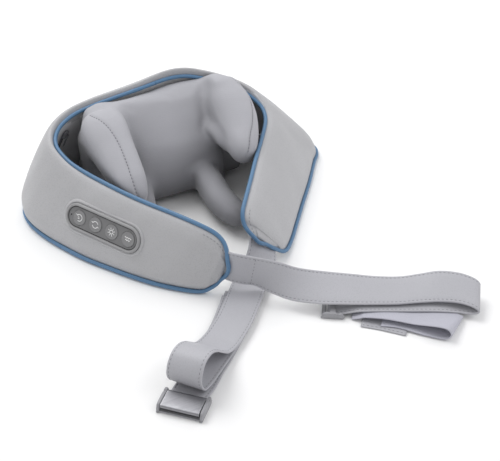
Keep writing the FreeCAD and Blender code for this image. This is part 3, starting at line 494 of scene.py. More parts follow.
class Mat:
    def __init__(s, name, rgb, rough=0.5, metallic=0.0, sheen=0.0, coat=0.0, spec=0.5):
        s.m = bpy.data.materials.new(name); s.m.use_nodes = True
        s.t = s.m.node_tree; s.n = s.t.nodes; s.l = s.t.links
        s.b = s.n["Principled BSDF"]
        s.rgb = rgb
        s.b.inputs["Base Color"].default_value = (*rgb, 1)
        s.b.inputs["Roughness"].default_value = rough
        s.b.inputs["Metallic"].default_value = metallic
        s.b.inputs["Specular IOR Level"].default_value = spec
        if sheen:
            s.b.inputs["Sheen Weight"].default_value = sheen
            s.b.inputs["Sheen Roughness"].default_value = 0.4
        if coat:
            s.b.inputs["Coat Weight"].default_value = coat
            s.b.inputs["Coat Roughness"].default_value = 0.25
        s.tc = s.n.new("ShaderNodeTexCoord"); s.col = None; s.h = None; s.rough = rough
    def node(s, kind, **kw):
        n = s.n.new(kind)
        for k, v in kw.items(): setattr(n, k, v)
        return n
    def vec(s, src="Object", scale=(1, 1, 1), rot=(0, 0, 0)):
        m = s.node("ShaderNodeMapping"); m.inputs["Scale"].default_value = scale; m.inputs["Rotation"].default_value = rot
        s.l.new(s.tc.outputs[src], m.inputs["Vector"]); return m.outputs[0]
    def noise(s, scale, detail=3, rough=0.5, vec=None):
        n = s.node("ShaderNodeTexNoise"); n.inputs["Scale"].default_value = scale; n.inputs["Detail"].default_value = detail; n.inputs["Roughness"].default_value = rough
        s.l.new(vec or s.tc.outputs["Object"], n.inputs["Vector"]); return n.outputs["Fac"]
    def voronoi(s, scale, feature="F1", vec=None):
        n = s.node("ShaderNodeTexVoronoi", feature=feature); n.inputs["Scale"].default_value = scale
        s.l.new(vec or s.tc.outputs["Object"], n.inputs["Vector"]); return n.outputs["Distance"]
    def wave(s, scale, direction="X", vec=None, distortion=0.0, profile="SIN"):
        n = s.node("ShaderNodeTexWave", bands_direction=direction, wave_profile=profile); n.inputs["Scale"].default_value = scale; n.inputs["Distortion"].default_value = distortion
        s.l.new(vec or s.tc.outputs["Object"], n.inputs["Vector"]); return n.outputs["Fac"]
    def mathn(s, op, a, b=None):
        n = s.node("ShaderNodeMath", operation=op)
        for i, x in enumerate((a, b)):
            if x is None: continue
            if isinstance(x, (int, float)): n.inputs[i].default_value = x
            else: s.l.new(x, n.inputs[i])
        return n.outputs[0]
    def remap(s, x, a, b, c, d):
        n = s.node("ShaderNodeMapRange"); s.l.new(x, n.inputs[0])
        for i, v in enumerate((a, b, c, d)): n.inputs[1+i].default_value = v
        return n.outputs[0]
    def tint(s, fac, rgb, lo, hi):
        """mix the colour so far towards rgb where fac runs from lo to hi"""
        f = s.remap(fac, lo, hi, 0.0, 1.0)
        n = s.node("ShaderNodeMix", data_type="RGBA"); s.l.new(f, n.inputs[0])
        if s.col is None: n.inputs[6].default_value = (*s.rgb, 1)
        else: s.l.new(s.col, n.inputs[6])
        n.inputs[7].default_value = (*rgb, 1); s.col = n.outputs[2]
    def bump(s, h, dist, strength=1.0):
        n = s.node("ShaderNodeBump"); n.inputs["Distance"].default_value = dist; n.inputs["Strength"].default_value = strength
        s.l.new(h, n.inputs["Height"])
        if s.h is not None: s.l.new(s.h, n.inputs["Normal"])
        s.h = n.outputs[0]
    def roughness(s, fac, lo, hi, a, b):
        s.l.new(s.remap(fac, lo, hi, a, b), s.b.inputs["Roughness"])
    def done(s):
        if s.col is not None: s.l.new(s.col, s.b.inputs["Base Color"])
        if s.h is not None: s.l.new(s.h, s.b.inputs["Normal"])
        return s.m

def shade(rgb, k):
    return tuple(min(1.0, c*k) for c in rgb)

def leather(name, rgb, rough=0.5, grain=900.0, depth=0.00012, sheen=0.05, wear=0.06):
    m = Mat(name, rgb, rough, sheen=sheen, spec=0.4)
    big = m.noise(9, 3); fine = m.noise(420, 4, 0.6); cell = m.voronoi(grain)
    m.tint(big, shade(rgb, 1.0+wear), 0.40, 0.70)
    m.tint(cell, shade(rgb, 0.93), 0.52, 0.80)
    m.roughness(fine, 0.3, 0.7, rough-0.06, rough+0.08)
    m.bump(cell, depth, 0.35); m.bump(fine, depth*1.4, 0.30); m.bump(m.noise(60, 2), 0.0006, 0.10)
    return m.done()

def knit(name, rgb, rough=0.78, pitch=0.0011, depth=0.00018, deep=None):
    m = Mat(name, rgb, rough, sheen=0.18, spec=0.2)
    s = 0.314/pitch
    a = m.wave(s, "X", distortion=0.6); b = m.wave(s*0.8, "Z", distortion=0.6); c = m.wave(s*0.8, "Y", distortion=0.6)
    loops = m.mathn("MULTIPLY", a, m.mathn("ADD", b, c))
    big = m.noise(14, 3); fine = m.noise(900, 3, 0.7)
    m.tint(big, shade(rgb, 1.05), 0.42, 0.68)
    m.tint(loops, shade(rgb, 1.07), 0.5, 1.7)
    m.tint(fine, shade(rgb, 0.90), 0.60, 0.80)
    if deep:
        # painted shade: the cloth is darkened low down and in its recesses and folds, where shade falls
        sep = m.node("ShaderNodeSeparateXYZ"); m.l.new(m.tc.outputs["Object"], sep.inputs[0])
        m.tint(sep.outputs[2], shade(rgb, deep[0]), 0.078, 0.022)
        ao = m.node("ShaderNodeAmbientOcclusion", samples=6); ao.inputs["Distance"].default_value = 0.055
        m.tint(ao.outputs["AO"], shade(rgb, deep[1]), 0.93, 0.34)
    m.roughness(fine, 0.3, 0.7, rough-0.06, min(1.0, rough+0.10))
    m.bump(loops, depth, 0.30); m.bump(fine, depth*0.7, 0.35)
    return m.done()

def weave(name, rgb, rough=0.7, across=0.0011, along=0.0016, depth=0.0003, sheen=0.15):
    """woven tape: uses the ribbon's own width and length in metres"""
    m = Mat(name, rgb, rough, sheen=sheen, spec=0.3)
    a = m.wave(0.314/across, "X", vec=m.tc.outputs["UV"]); b = m.wave(0.314/along, "Y", vec=m.tc.outputs["UV"])
    h = m.mathn("MULTIPLY", a, b)
    fine = m.noise(800, 3, 0.7)
    m.tint(h, shade(rgb, 1.12), 0.1, 0.9); m.tint(fine, shade(rgb, 0.85), 0.58, 0.8); m.tint(m.noise(20, 2), shade(rgb, 0.95), 0.45, 0.7)
    m.roughness(fine, 0.3, 0.7, rough-0.08, rough+0.1)
    m.bump(h, depth, 0.6); m.bump(fine, depth*0.4, 0.4)
    return m.done()

def plastic(name, rgb, rough=0.45, grain=1600.0, depth=0.00004, coat=0.0, spec=0.5):
    m = Mat(name, rgb, rough, coat=coat, spec=spec)
    g = m.noise(grain, 3, 0.6); big = m.noise(30, 2); v = m.voronoi(grain*0.8)
    m.tint(big, shade(rgb, 1.05), 0.42, 0.68); m.tint(v, shade(rgb, 0.94), 0.5, 0.85)
    m.roughness(g, 0.3, 0.7, rough-0.05, rough+0.07)
    m.bump(v, depth, 0.5); m.bump(g, depth, 0.4)
    return m.done()

def metal(name, rgb, rough=0.3, axis="X", scale=900.0):
    m = Mat(name, rgb, rough, metallic=1.0)
    st = {"X": (0.02, 1, 1), "Y": (1, 0.02, 1), "Z": (1, 1, 0.02)}[axis]
    g = m.noise(scale, 4, 0.7, vec=m.vec(scale=st)); big = m.noise(40, 3)
    m.tint(g, shade(rgb, 0.86), 0.5, 0.8); m.tint(big, shade(rgb, 1.08), 0.45, 0.75)
    m.roughness(g, 0.3, 0.7, rough-0.08, rough+0.1); m.bump(g, 0.00003, 0.6)
    return m.done()

C_BAND = (lin(178), lin(178), lin(180))
C_PAD = (lin(172), lin(172), lin(177))
C_STRAP = (lin(177), lin(177), lin(182))
C_PIPE = (lin(88), lin(124), lin(158))
M_BAND = leather("band_leather", C_BAND, 0.52)
# painted light: the lining knit is paler than the band's grey so the shaded inside of the collar reads lighter
M_LINING = knit("lining_knit", (lin(210), lin(210), lin(212)), 0.8)
# the pad knit gets painted shade, darker low down and in its recesses
M_PAD = knit("pad_knit", C_PAD, deep=(0.66, 0.36))
M_PIPE = leather("piping_leather", C_PIPE, 0.42, grain=1500, depth=0.00005, wear=0.10)
M_STRAP = leather("strap_leather", C_STRAP, 0.50, grain=1300, depth=0.00007)
M_ELASTIC = weave("elastic_weave", (lin(182), lin(182), lin(192)))
M_THREAD = leather("thread", (lin(120), lin(120), lin(126)), 0.7, grain=2500, depth=0.00005)
M_THREAD_PALE = leather("thread_pale", (lin(150), lin(150), lin(156)), 0.7, grain=2500, depth=0.00005)
M_BEZEL = plastic("bezel_plastic", (lin(152), lin(152), lin(153)), 0.5)
M_FACE = plastic("face_plastic", (lin(118), lin(118), lin(119)), 0.46, grain=2200, depth=0.00002)
M_BUTTON = plastic("button_plastic", (lin(132), lin(132), lin(133)), 0.42, grain=2200, depth=0.00002)
# painted shade: a dark strip standing for the shade in the groove round the control face
M_GROOVE = plastic("groove_painted_shade", (lin(52), lin(52), lin(54)), 0.6)
M_ICON = plastic("icon_ink", (lin(232), lin(232), lin(232)), 0.5, grain=3000, depth=0.00001)
M_LENS = plastic("lens_plastic", (lin(40), lin(40), lin(44)), 0.15, coat=0.6)
M_BUCKLE = plastic("buckle_plastic", (lin(150), lin(150), lin(154)), 0.38)
M_LEVER = metal("lever_steel", (lin(148), lin(148), lin(152)), 0.42, "X")
M_STEEL = metal("steel", (0.62, 0.62, 0.63), 0.3)
M_GUN = metal("zip_metal", (0.36, 0.36, 0.38), 0.32)
M_ZTAPE = weave("zip_tape_weave", (lin(112), lin(112), lin(118)), 0.85, 0.0007, 0.0009, 0.0002)
M_ZTEETH = plastic("zip_teeth", (lin(60), lin(60), lin(64)), 0.35, coat=0.2)
M_JACK = plastic("jack_plastic", (0.03, 0.03, 0.033), 0.4)

def smooth_closed(pts, sub):
    out = []; n = len(pts)
    for i in range(n):
        p0, p1, p2, p3 = pts[i-1], pts[i], pts[(i+1) % n], pts[(i+2) % n]
        for k in range(sub):
            t = k/sub
            out.append((p1*2 + (p2-p0)*t + (p0*2 - p1*5 + p2*4 - p3)*(t*t) + (p1*3 - p0 - p2*3 + p3)*(t*t*t))*0.5)
    return out

def smooth_open(pts, sub):
    out = []
    for i in range(len(pts)-1):
        for k in range(sub): out.append(catmull(pts, i, k/sub))
    return out + [pts[-1]]

def resample(pts, step):
    acc = [0.0]
    for a, b in zip(pts[:-1], pts[1:]): acc.append(acc[-1] + (b-a).length)
    n = max(2, int(acc[-1]/step)); out = []; j = 0
    for i in range(n+1):
        s = acc[-1]*i/n
        while j < len(acc)-2 and acc[j+1] < s: j += 1
        out.append(pts[j].lerp(pts[j+1], (s-acc[j])/max(1e-9, acc[j+1]-acc[j])))
    return out

# ------------------------------------------------------------------ padded collar
def puff(u):
    """extra fullness of the outer panel over the back seam"""
    return 4.5*ramp(u, 17.0, 19.5)*(1-ramp(u, 22.5, 25.0)) + 1.5*ramp(u, 12.5, 14.5)*(1-ramp(u, 16.0, 18.0))

_tipf = frame_at(33.2)
def frame_tip(u):
    """frame of the collar, with the facing of the right tip held steady"""
    T, B, w, n, tan = frame_at(u)
    if u > 33.2:
        n = (_tipf[3] - w*_tipf[3].dot(w)).normalized(); tan = _tipf[4]
    return T, B, w, n, tan

def collar_ring(u):
    T, B, w, n, tan = frame_tip(u)
    W = (T-B).length; k = min(1.0, W/55.0)
    o, r = crown(u); i, o = BAND_IN*k, o*k
    e = min(4.2, W*0.12); x = puff(u)
    prof = [(0.2, -0.3), (e*0.55, 0.6*k), (e*1.3, o*0.42), (0.13*W, o*0.74), (0.22*W, o*0.93), (0.36*W, o*1.0), (0.5*W, o*1.0), (0.65*W, o*0.98), (0.8*W, o*0.93),
            (W-e*1.9+6.0*r+x*0.6, o*0.74), (W-e*0.75+6.8*r+x, o*0.50), (W-0.8*k+5.0*r+x*0.8, o*0.26+0.4*r), (W+2.2*r+0.3*x, 0.8*k+0.6*r),
            (W-0.2, -0.4), (W-1.6*k, -1.7*k), (0.92*W, -i*0.78), (0.75*W, -i*0.97), (0.5*W, -i), (0.25*W, -i*0.97), (0.09*W, -i*0.80), (e*0.30, -1.3*k)]
    ring = smooth_closed([V((f, h, 0)) for f, h in prof], 3)
    out = []
    for q in ring:
        # soft unevenness of stuffed fabric, dying away at the seams
        edge = max(0.0, min(1.0, min(q.x, W-q.x)/(0.16*W))) if W > 1 else 0.0
        wob = 0.28*math.sin(u*2.1 + q.x*0.045)*math.sin(u*0.83 + 1.3) + 0.16*math.sin(u*5.3 + q.x*0.11)
        h = q.y + (wob*edge*k if q.y > 0 else 0.0)
        p = B + w*q.x + n*h
        if p.z < 0.25: p.z = 0.25
        out.append(p)
    return out

us = [0.12 + (N_END-0.24)*i/330 for i in range(331)]
rings = [collar_ring(u) for u in us]
def tip_caps(ring, tan, sgn):
    c = sum(ring, V((0, 0, 0)))/len(ring)
    return [[c + (p-c)*s + tan*(sgn*d) for p in ring] for s, d in ((0.92, 0.9), (0.72, 1.7), (0.42, 2.2), (0.15, 2.4))]
t0, t1 = frame_tip(us[0])[4], frame_tip(us[-1])[4]
rings = list(reversed(tip_caps(rings[0], t0, -1))) + rings + tip_caps(rings[-1], t1, 1)
cv, cf = ring_mesh(rings)
collar_l, collar_r = split_parts("collar", [mm(p) for p in cv], cf, lambda c: 0 if c.x+13.148 < 2.0 else 1, M_BAND, 2)
# the lining is the inner face of the same cover
for o in (collar_l, collar_r):
    o.data.materials.append(M_LINING)
m_ring = len(rings[0])
def nearest_u(p):
    best, bu = 1e9, 0
    for k in range(0, 141):
        u = N_END*k/140
        d = (at(TOPS, u)+at(BOTS, u))*0.5 - p
        if d.length < best: best, bu = d.length, u
    return bu
_mids = [(N_END*k/280, (at(TOPS, N_END*k/280)+at(BOTS, N_END*k/280))*0.5) for k in range(281)]
_mid_np = np.array([list(m[1]) for m in _mids])
_frames = [frame_tip(m[0]) for m in _mids]
for o in (collar_l, collar_r):
    for p in o.data.polygons:
        c = p.center*1000.0; q = V((c.x-SX, c.y-SY, c.z))
        d = _mid_np - np.array(list(q)); i = int(np.argmin((d*d).sum(1)))
        T, B, w, n, tan = _frames[i]
        hh = (q-B).dot(n); ff = (q-B).dot(w)
        if hh < -1.2 and p.normal.dot(n) < -0.1 and ff < (T-B).length*0.985: p.material_index = 1
collar_l.name, collar_r.name = "collar_left", "collar_right"
BL0, BL1 = mm((-150, 140, 40)), mm((-150, 96, 40))
BR0, BR1 = mm((160, 142, 40)), mm((160, 98, 40))
for o, side, a, b, nodes in ((collar_l, "arm_left", BL0, BL1, ("band_back", "arm_left_pad")), (collar_r, "arm_right", BR0, BR1, ("arm_right_pad",))):
    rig.replaces(o, *nodes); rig.slot(o, "band_leather"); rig.padded(o, fill=0.75)
    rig.blend(o, "core", side, a, b)

# ------------------------------------------------------------------ corded piping, one run round each half
def pipe_run(sgn):
    top, bot = [], []
    u_end = 18.5
    seq = [u_end*i/110 for i in range(111)] if sgn < 0 else [N_END-(N_END-u_end)*i/110 for i in range(111)]
    for u in seq:
        T, B, w, n, tan = frame_tip(u)
        W = (T-B).length
        c = crown(u)[1]; f = ramp(abs(u-(0 if sgn < 0 else N_END)), 0.0, 2.0)
        top.append(T + w*(PIPE_R*0.75+0.5) + n*(1.5*(1-f)) - n*(1.4*c) + (n*(3.6*(1-ramp(u, 0.7, 2.6))) if sgn < 0 else n*0.0))
        q = B + w*(1.2*f) + n*(PIPE_R*0.75 + 0.8 + 0.3*(1-f))
        if q.z < PIPE_R+0.3: q.z = PIPE_R+0.3
        bot.append(q)
    u0 = 0.0 if sgn < 0 else float(N_END)
    T, B, w, n, tan = frame_tip(u0)
    out = tan*(-1 if sgn < 0 else 1)
    mid = ([T + w*0.8 + out*2.6 + n*5.2, (T+B)*0.5 + out*4.4 + n*5.4, B - w*0.4 + out*2.8 + n*4.8] if sgn < 0 else [T + w*0.2 + out*2.2 + n*2.0, (T+B)*0.5 + out*5.6 + n*2.2, B + out*2.6 + n*2.2])
    path = list(reversed(top[2:])) + mid + bot[2:]
    path = resample(path, 2.4)
    for _ in range(3):
        path = [path[0]] + [(path[i-1]+path[i]*2+path[i+1])/4 for i in range(1, len(path)-1)] + [path[-1]]
    return path
PIPES = {}
for sgn, side, a, b in ((-1, "left", BL0, BL1), (1, "right", BR0, BR1)):
    path = pipe_run(sgn); PIPES[side] = path
    # the cord cover is wrapped with faint ripples
    rr = tube_rings(path, PIPE_R, 14)
    for i, ring in enumerate(rr):
        c = path[i]; g = 1.0 + 0.018*math.sin(i*1.9) + 0.012*math.sin(i*0.73)
        rr[i] = [c + (p-c)*g for p in ring]
        for p in rr[i]:
            if p.z < 0.1: p.z = 0.1
    v, f = ring_mesh(rr)
    o = make("piping_"+side, v, f, M_PIPE); fix_normals(o)
    names = ["piping_%s_upper" % side, "piping_%s_lower" % side] + (["piping_back_upper", "piping_back_lower"] if sgn < 0 else [])
    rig.replaces(o, *names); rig.slot(o, "piping_cord"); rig.blend(o, "core", "arm_"+side, a, b)

# ------------------------------------------------------------------ inner pad and the four claw sleeves
def rear_y(x, z):
    best = []
    for k in range(0, 121):
        u = 12.6 + 12.0*k/120
        T, B = at(TOPS, u), at(BOTS, u)
        f = min(1.0, (z-B.z)/(T.z-B.z)); q = B + (T-B)*f
        best.append((q.x, q.y))
    for (xa, ya), (xb, yb) in zip(best[:-1], best[1:]):
        if xa <= x <= xb: return ya + (yb-ya)*(x-xa)/(xb-xa) - 7.2
    return 120.0

SH = {1: 131.5, -1: 122.0}
def pad_profile(x):
    ax = abs(x); s = 1 if x > 0 else -1
    if ax <= 56:
        k = (ax/56.0)**2; tz = 122.5 + (3.0 if s > 0 else -1.0)*k
        fr = [(146-4*k, tz), (134-8*k, 110), (117-4*k, 91), (101, 70), (92, 50), (88, 30), (88, 13), (94, 4)]
    else:
        k = (ax-56)/38.0; tz = SH[s] - 11.0*max(0.0, k-0.35)**1.2
        if s > 0:
            fr = [(118+2*k, tz), (110+2*k, tz-8), (108+2*k, 98-4*k), (108+3*k, 76), (106+6*k, 50), (104+8*k, 30), (104+8*k, 13), (110+6*k, 5)]
        else:
            e = 9.0*max(0.0, k-0.45)**1.3
            fr = [(133.5+2*k, tz-3.0), (130.5+e, tz-9.5), (117+2*k+e, 104-4*k), (110+3*k+e, 80), (106+6*k+e, 50), (104+8*k+e, 30), (104+8*k, 13), (110+6*k, 5)]
    bk = [(rear_y(x, 6), 5), (rear_y(x, 14), 14), (rear_y(x, 60), 60), (rear_y(x, tz-20)+3.0, tz-20), (max(fr[0][0]+8, rear_y(x, tz)+2.5), tz-1.5)]
    return [V((x, y, z)) for y, z in fr + bk]

def section(c, d, rx, rz, e_top, e_bot, n=28, ridge=0.0):
    d = d.normalized(); x = V((1, 0, 0)); x = (x - d*x.dot(d)).normalized(); q = d.cross(x).normalized()
    if q.z < 0: q = q*-1
    out = []
    for k in range(n):
        a = 2*math.pi*k/n; ca, sa = math.cos(a), math.sin(a)
        e = e_top if sa > 0 else e_bot
        px = rx*math.copysign(abs(ca)**(2.0/e), ca); pz = rz*math.copysign(abs(sa)**(2.0/e), sa)
        out.append(c + x*(px + ridge*max(0.0, sa)) + q*pz)
    return out

UP = {1: [((74,129,101),25,27),((74,112,98.5),26,28),((74.5,101,94.5),25.5,27),((73,86,88.5),23.5,24.5),((68.5,68,81),20,21),((62.5,54,75.5),17,18.5),((59.5,45,72),14,15),((57.5,39.5,70.2),10,10.5),((56.5,36.5,69.6),5,5)],
      -1: [((77,130,97),22,23),((77.5,126,98),25,26),((78,113,97.5),25.5,26.5),((78.5,101,94),24.5,26),((78,86,88.5),22.5,24),((77.5,68,82),21,22),((76.8,54,77),19.5,19.5),((76.3,44,73),18,18),((76.5,35,68.5),16,15),((77.2,27,64.8),13,12),((78,21.5,62.2),9.5,8.5),((78.3,17.8,60.8),4.5,4)]}
LO = {-1: [((53,102,27.5),17,18.8),((55,84,26.8),17.8,19),((59.5,67,25),17.8,18.3),((64,51,23),17.2,17),((67.5,40,22.5),15.5,15),((69.5,33.5,22.3),11.5,11),((70.8,29,22.2),6,6)],
      1: [((31,100,27),16,18.5),((30,82,26.5),17,18),((28.5,62,25),17.5,17.5),((27,42,23),17.5,16.5),((29,24,22.5),17.0,16),((32,9,22.2),16,15),((35.5,-1,21.8),13,12),((37.5,-7.5,21.5),8.5,8),((38.2,-10.5,21.4),4,4)]}
# soft web that joins the right claw to the middle of the pad
WEB = [((51,120,80),10,10), ((52,107,78),11,11), ((52,93,75),11.5,11), ((54,80,70.5),11,10), ((57,68,66.5),9,7), ((59,60,64.5),5,4)]

parts_v, parts_f = [], []
def add(rings):
    v, f = ring_mesh(rings); b = len(parts_v)
    parts_v.extend(v); parts_f.extend([[i+b for i in q] for q in f])
add([pad_profile(x) for x in (-92,-88,-80,-74,-64,-58,-52,-44,-36,-22,-8,8,22,36,44,50,56,62,70,78,86,92)])
for s in (-1, 1):
    for st, et, eb, ridge in ((UP[s], 3.4 if s < 0 else 2.2, 3.0, 0.0), (LO[s], 2.3, 2.4, 0.0)):
        cs = [V((s*c[0], c[1], c[2])) for c, a, b in st]; rr = []
        for i, (c, a, b) in enumerate(st):
            d = cs[min(i+1, len(cs)-1)] - cs[max(i-1, 0)]
            rr.append(section(cs[i], d, a, b, et, eb, ridge=ridge))
        add(rr)
wc = [V(c) for c, a, b in WEB]
add([section(wc[i], wc[min(i+1, len(wc)-1)] - wc[max(i-1, 0)], a, b, 2.2, 2.2) for i, (c, a, b) in enumerate(WEB)])
# fuller lower shoulder at the pad's left end
GUSSET = [(-82, 118, 100, 146), (-89, 116, 98, 148), (-95, 114, 96, 148), (-99.5, 112, 93, 147), (-101.5, 113, 89, 145)]
add([[V((x, y0, 8)), V((x, y0, 40)), V((x, y0, zt-12)), V((x, y0+2, zt-5)), V((x, y0+9, zt)), V((x, y1-9, zt+2)), V((x, y1-2, zt-3)), V((x, y1, zt-10)), V((x, y1, 40)), V((x, y1, 8))] for x, y0, zt, y1 in GUSSET])
raw = make("pad_raw", parts_v, parts_f); fix_normals(raw)

def evaluated(o):
    dg = bpy.context.evaluated_depsgraph_get(); return bpy.data.meshes.new_from_object(o.evaluated_get(dg))
rm = raw.modifiers.new("r", "REMESH"); rm.mode = "VOXEL"; rm.voxel_size = 0.0034; rm.adaptivity = 0.0
whole = evaluated(raw); bpy.data.objects.remove(raw)
bm = bmesh.new(); bm.from_mesh(whole)
for _ in range(7): bmesh.ops.smooth_vert(bm, verts=bm.verts, factor=0.5, use_axis_x=True, use_axis_y=True, use_axis_z=True)
bm.to_mesh(whole); bm.free()

def inflate(me, pressure, cap, frames=16):
    """a short cloth run under inner pressure, each point kept within cap of where it began"""
    o = bpy.data.objects.new("sim", me); bpy.context.scene.collection.objects.link(o)
    start = np.empty(len(me.vertices)*3, np.float32); me.vertices.foreach_get("co", start)
    c = o.modifiers.new("c", "CLOTH"); s = c.settings
    s.quality = 5; s.mass = 0.3; s.tension_stiffness = 18; s.compression_stiffness = 12; s.shear_stiffness = 8; s.bending_stiffness = 1.2
    s.tension_damping = 8; s.compression_damping = 8; s.shear_damping = 6; s.bending_damping = 1.0; s.air_damping = 3
    s.use_pressure = True; s.uniform_pressure_force = pressure; s.effector_weights.gravity = 0.0
    c.collision_settings.use_collision = False; c.collision_settings.use_self_collision = False
    sc = bpy.context.scene; sc.frame_start = 1; sc.frame_end = frames
    c.point_cache.frame_start = 1; c.point_cache.frame_end = frames
    for f in range(1, frames+1): sc.frame_set(f)
    r = evaluated(o); end = np.empty(len(r.vertices)*3, np.float32); r.vertices.foreach_get("co", end)
    a, b = start.reshape(-1, 3), end.reshape(-1, 3); d = b-a; L = np.linalg.norm(d, axis=1, keepdims=True)
    b = a + d*np.minimum(1.0, cap/np.maximum(L, 1e-9))
    sc.frame_set(1); bpy.data.objects.remove(o)
    r.vertices.foreach_set("co", b.reshape(-1).astype(np.float32)); r.update()
    return r, float(L.mean()), float(L.max())
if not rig.quick():
    whole, mean_move, max_move = inflate(whole, 4.0, 0.003)
    print("pad cloth moved mean %.4f max %.4f" % (mean_move, max_move))
    bm = bmesh.new(); bm.from_mesh(whole)
    for _ in range(3): bmesh.ops.smooth_vert(bm, verts=bm.verts, factor=0.5, use_axis_x=True, use_axis_y=True, use_axis_z=True)
    bm.to_mesh(whole); bm.free()

tmp = bpy.data.objects.new("tmp", whole); bpy.context.scene.collection.objects.link(tmp)
sb = tmp.modifiers.new("s", "SUBSURF"); sb.levels = 1; sb.render_levels = 1
fine = evaluated(tmp); bpy.data.objects.remove(tmp)
for v in fine.vertices:
    if v.co.z < 0.0030: v.co.z = 0.0030
fine.update()

# sewn seams on the claws: a shallow furrow pressed into the cover along each line
def bvh_of(me):
    return BVHTree.FromPolygons([v.co.copy() for v in me.vertices], [list(p.vertices) for p in me.polygons])
tree = bvh_of(fine)
def project(line, step=1.6):
    pts = resample(smooth_open([V(p) for p in line], 6), step); out = []
    for p in pts:
        loc, nrm, idx, dist = tree.find_nearest(mm(p))
        out.append((V((loc.x*1000-SX, loc.y*1000-SY, loc.z*1000)), nrm.copy()))
    for _ in range(2):
        out = [out[0]] + [((out[i-1][0]+out[i][0]*2+out[i+1][0])/4, (out[i-1][1]+out[i][1]*2+out[i+1][1]).normalized()) for i in range(1, len(out)-1)] + [out[-1]]
    return out
SEAM_LINES = {
 "upper_left": [(-91,128,123),(-90,121,124),(-85,110,121),(-80,96,116),(-77,78,106),(-77,60,99),(-78,42,88),(-78.5,28,76),(-78.5,17,63)],
 "upper_right": [(84,143,131),(88,126,130),(92,114,122),(91,100,112),(86,84,104),(78,66,96),(68,50,88),(60,38,76)],
 "lower_left": [(-64,84,44),(-66,66,42),(-70,50,38),(-73,36,32),(-73,27,24)],
 "lower_right": [(44,84,45),(44,62,42),(44,42,38),(44,24,36),(44,8,34),(42,-6,26)],
}
seams = {k: project(v) for k, v in SEAM_LINES.items()}
co = np.empty(len(fine.vertices)*3, np.float32); fine.vertices.foreach_get("co", co); co = co.reshape(-1, 3)
nr = np.array([list(v.normal) for v in fine.vertices])
dent = np.zeros(len(co))
for k, run in seams.items():
    P = np.array([list(mm(p)) for p, n in run])
    lo, hi = P.min(0)-0.012, P.max(0)+0.012
    ids = np.where(((co > lo) & (co < hi)).all(1))[0]
    d = np.sqrt(((co[ids][:, None, :]-P[None, :, :])**2).sum(2)).min(1)
    dent[ids] = np.maximum(dent[ids], 0.0011*np.exp(-(d/0.0016)**2) - 0.0005*np.exp(-((d-0.0045)/0.0022)**2))
co = co - nr*dent[:, None]
fine.vertices.foreach_set("co", co.astype(np.float32).reshape(-1)); fine.update()
tree = bvh_of(fine)
seams = {k: project([list(p) for p, n in v[::3]]) for k, v in seams.items()}

YU, YL = 94.0, 86.0
def pad_region(c):
    x, y, z = c.x-SX, c.y-SY, c.z
    if z > 50 and y < YU and (x < -46 or x > 40): return 1 if x < 0 else 2
    if z <= 50 and y < YL: return 3 if x < 0 else 4
    return 0
pv = [v.co.copy() for v in fine.vertices]; pf = [list(p.vertices) for p in fine.polygons]
pads = split_parts("pad", pv, pf, pad_region, M_PAD, 5)
for o, nm in zip(pads, ("inner_pad", "sleeve_upper_left", "sleeve_upper_right", "sleeve_lower_left", "sleeve_lower_right")): o.name = nm
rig.ride(pads[0], "core"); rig.replaces(pads[0], "core_pad"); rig.slot(pads[0], "pad_knit"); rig.padded(pads[0], fill=0.7)
BLEND = {"upper": (mm((0, YU, 80)), mm((0, 68, 80))), "lower": (mm((0, YL, 25)), mm((0, 60, 25)))}
for o, nm in zip(pads[1:], ("upper_left", "upper_right", "lower_left", "lower_right")):
    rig.replaces(o, "claw_cover_"+nm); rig.slot(o, "pad_knit"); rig.padded(o, fill=0.7)
    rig.blend(o, "core", "claw_"+nm, *BLEND[nm.split("_")[0]])
    st = stitches("seam_"+nm, [seams[nm]], M_THREAD, length=2.6, pitch=4.0, r=0.30, lift=0.15)
    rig.slot(st, "pad_knit"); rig.blend(st, "core", "claw_"+nm, *BLEND[nm.split("_")[0]])

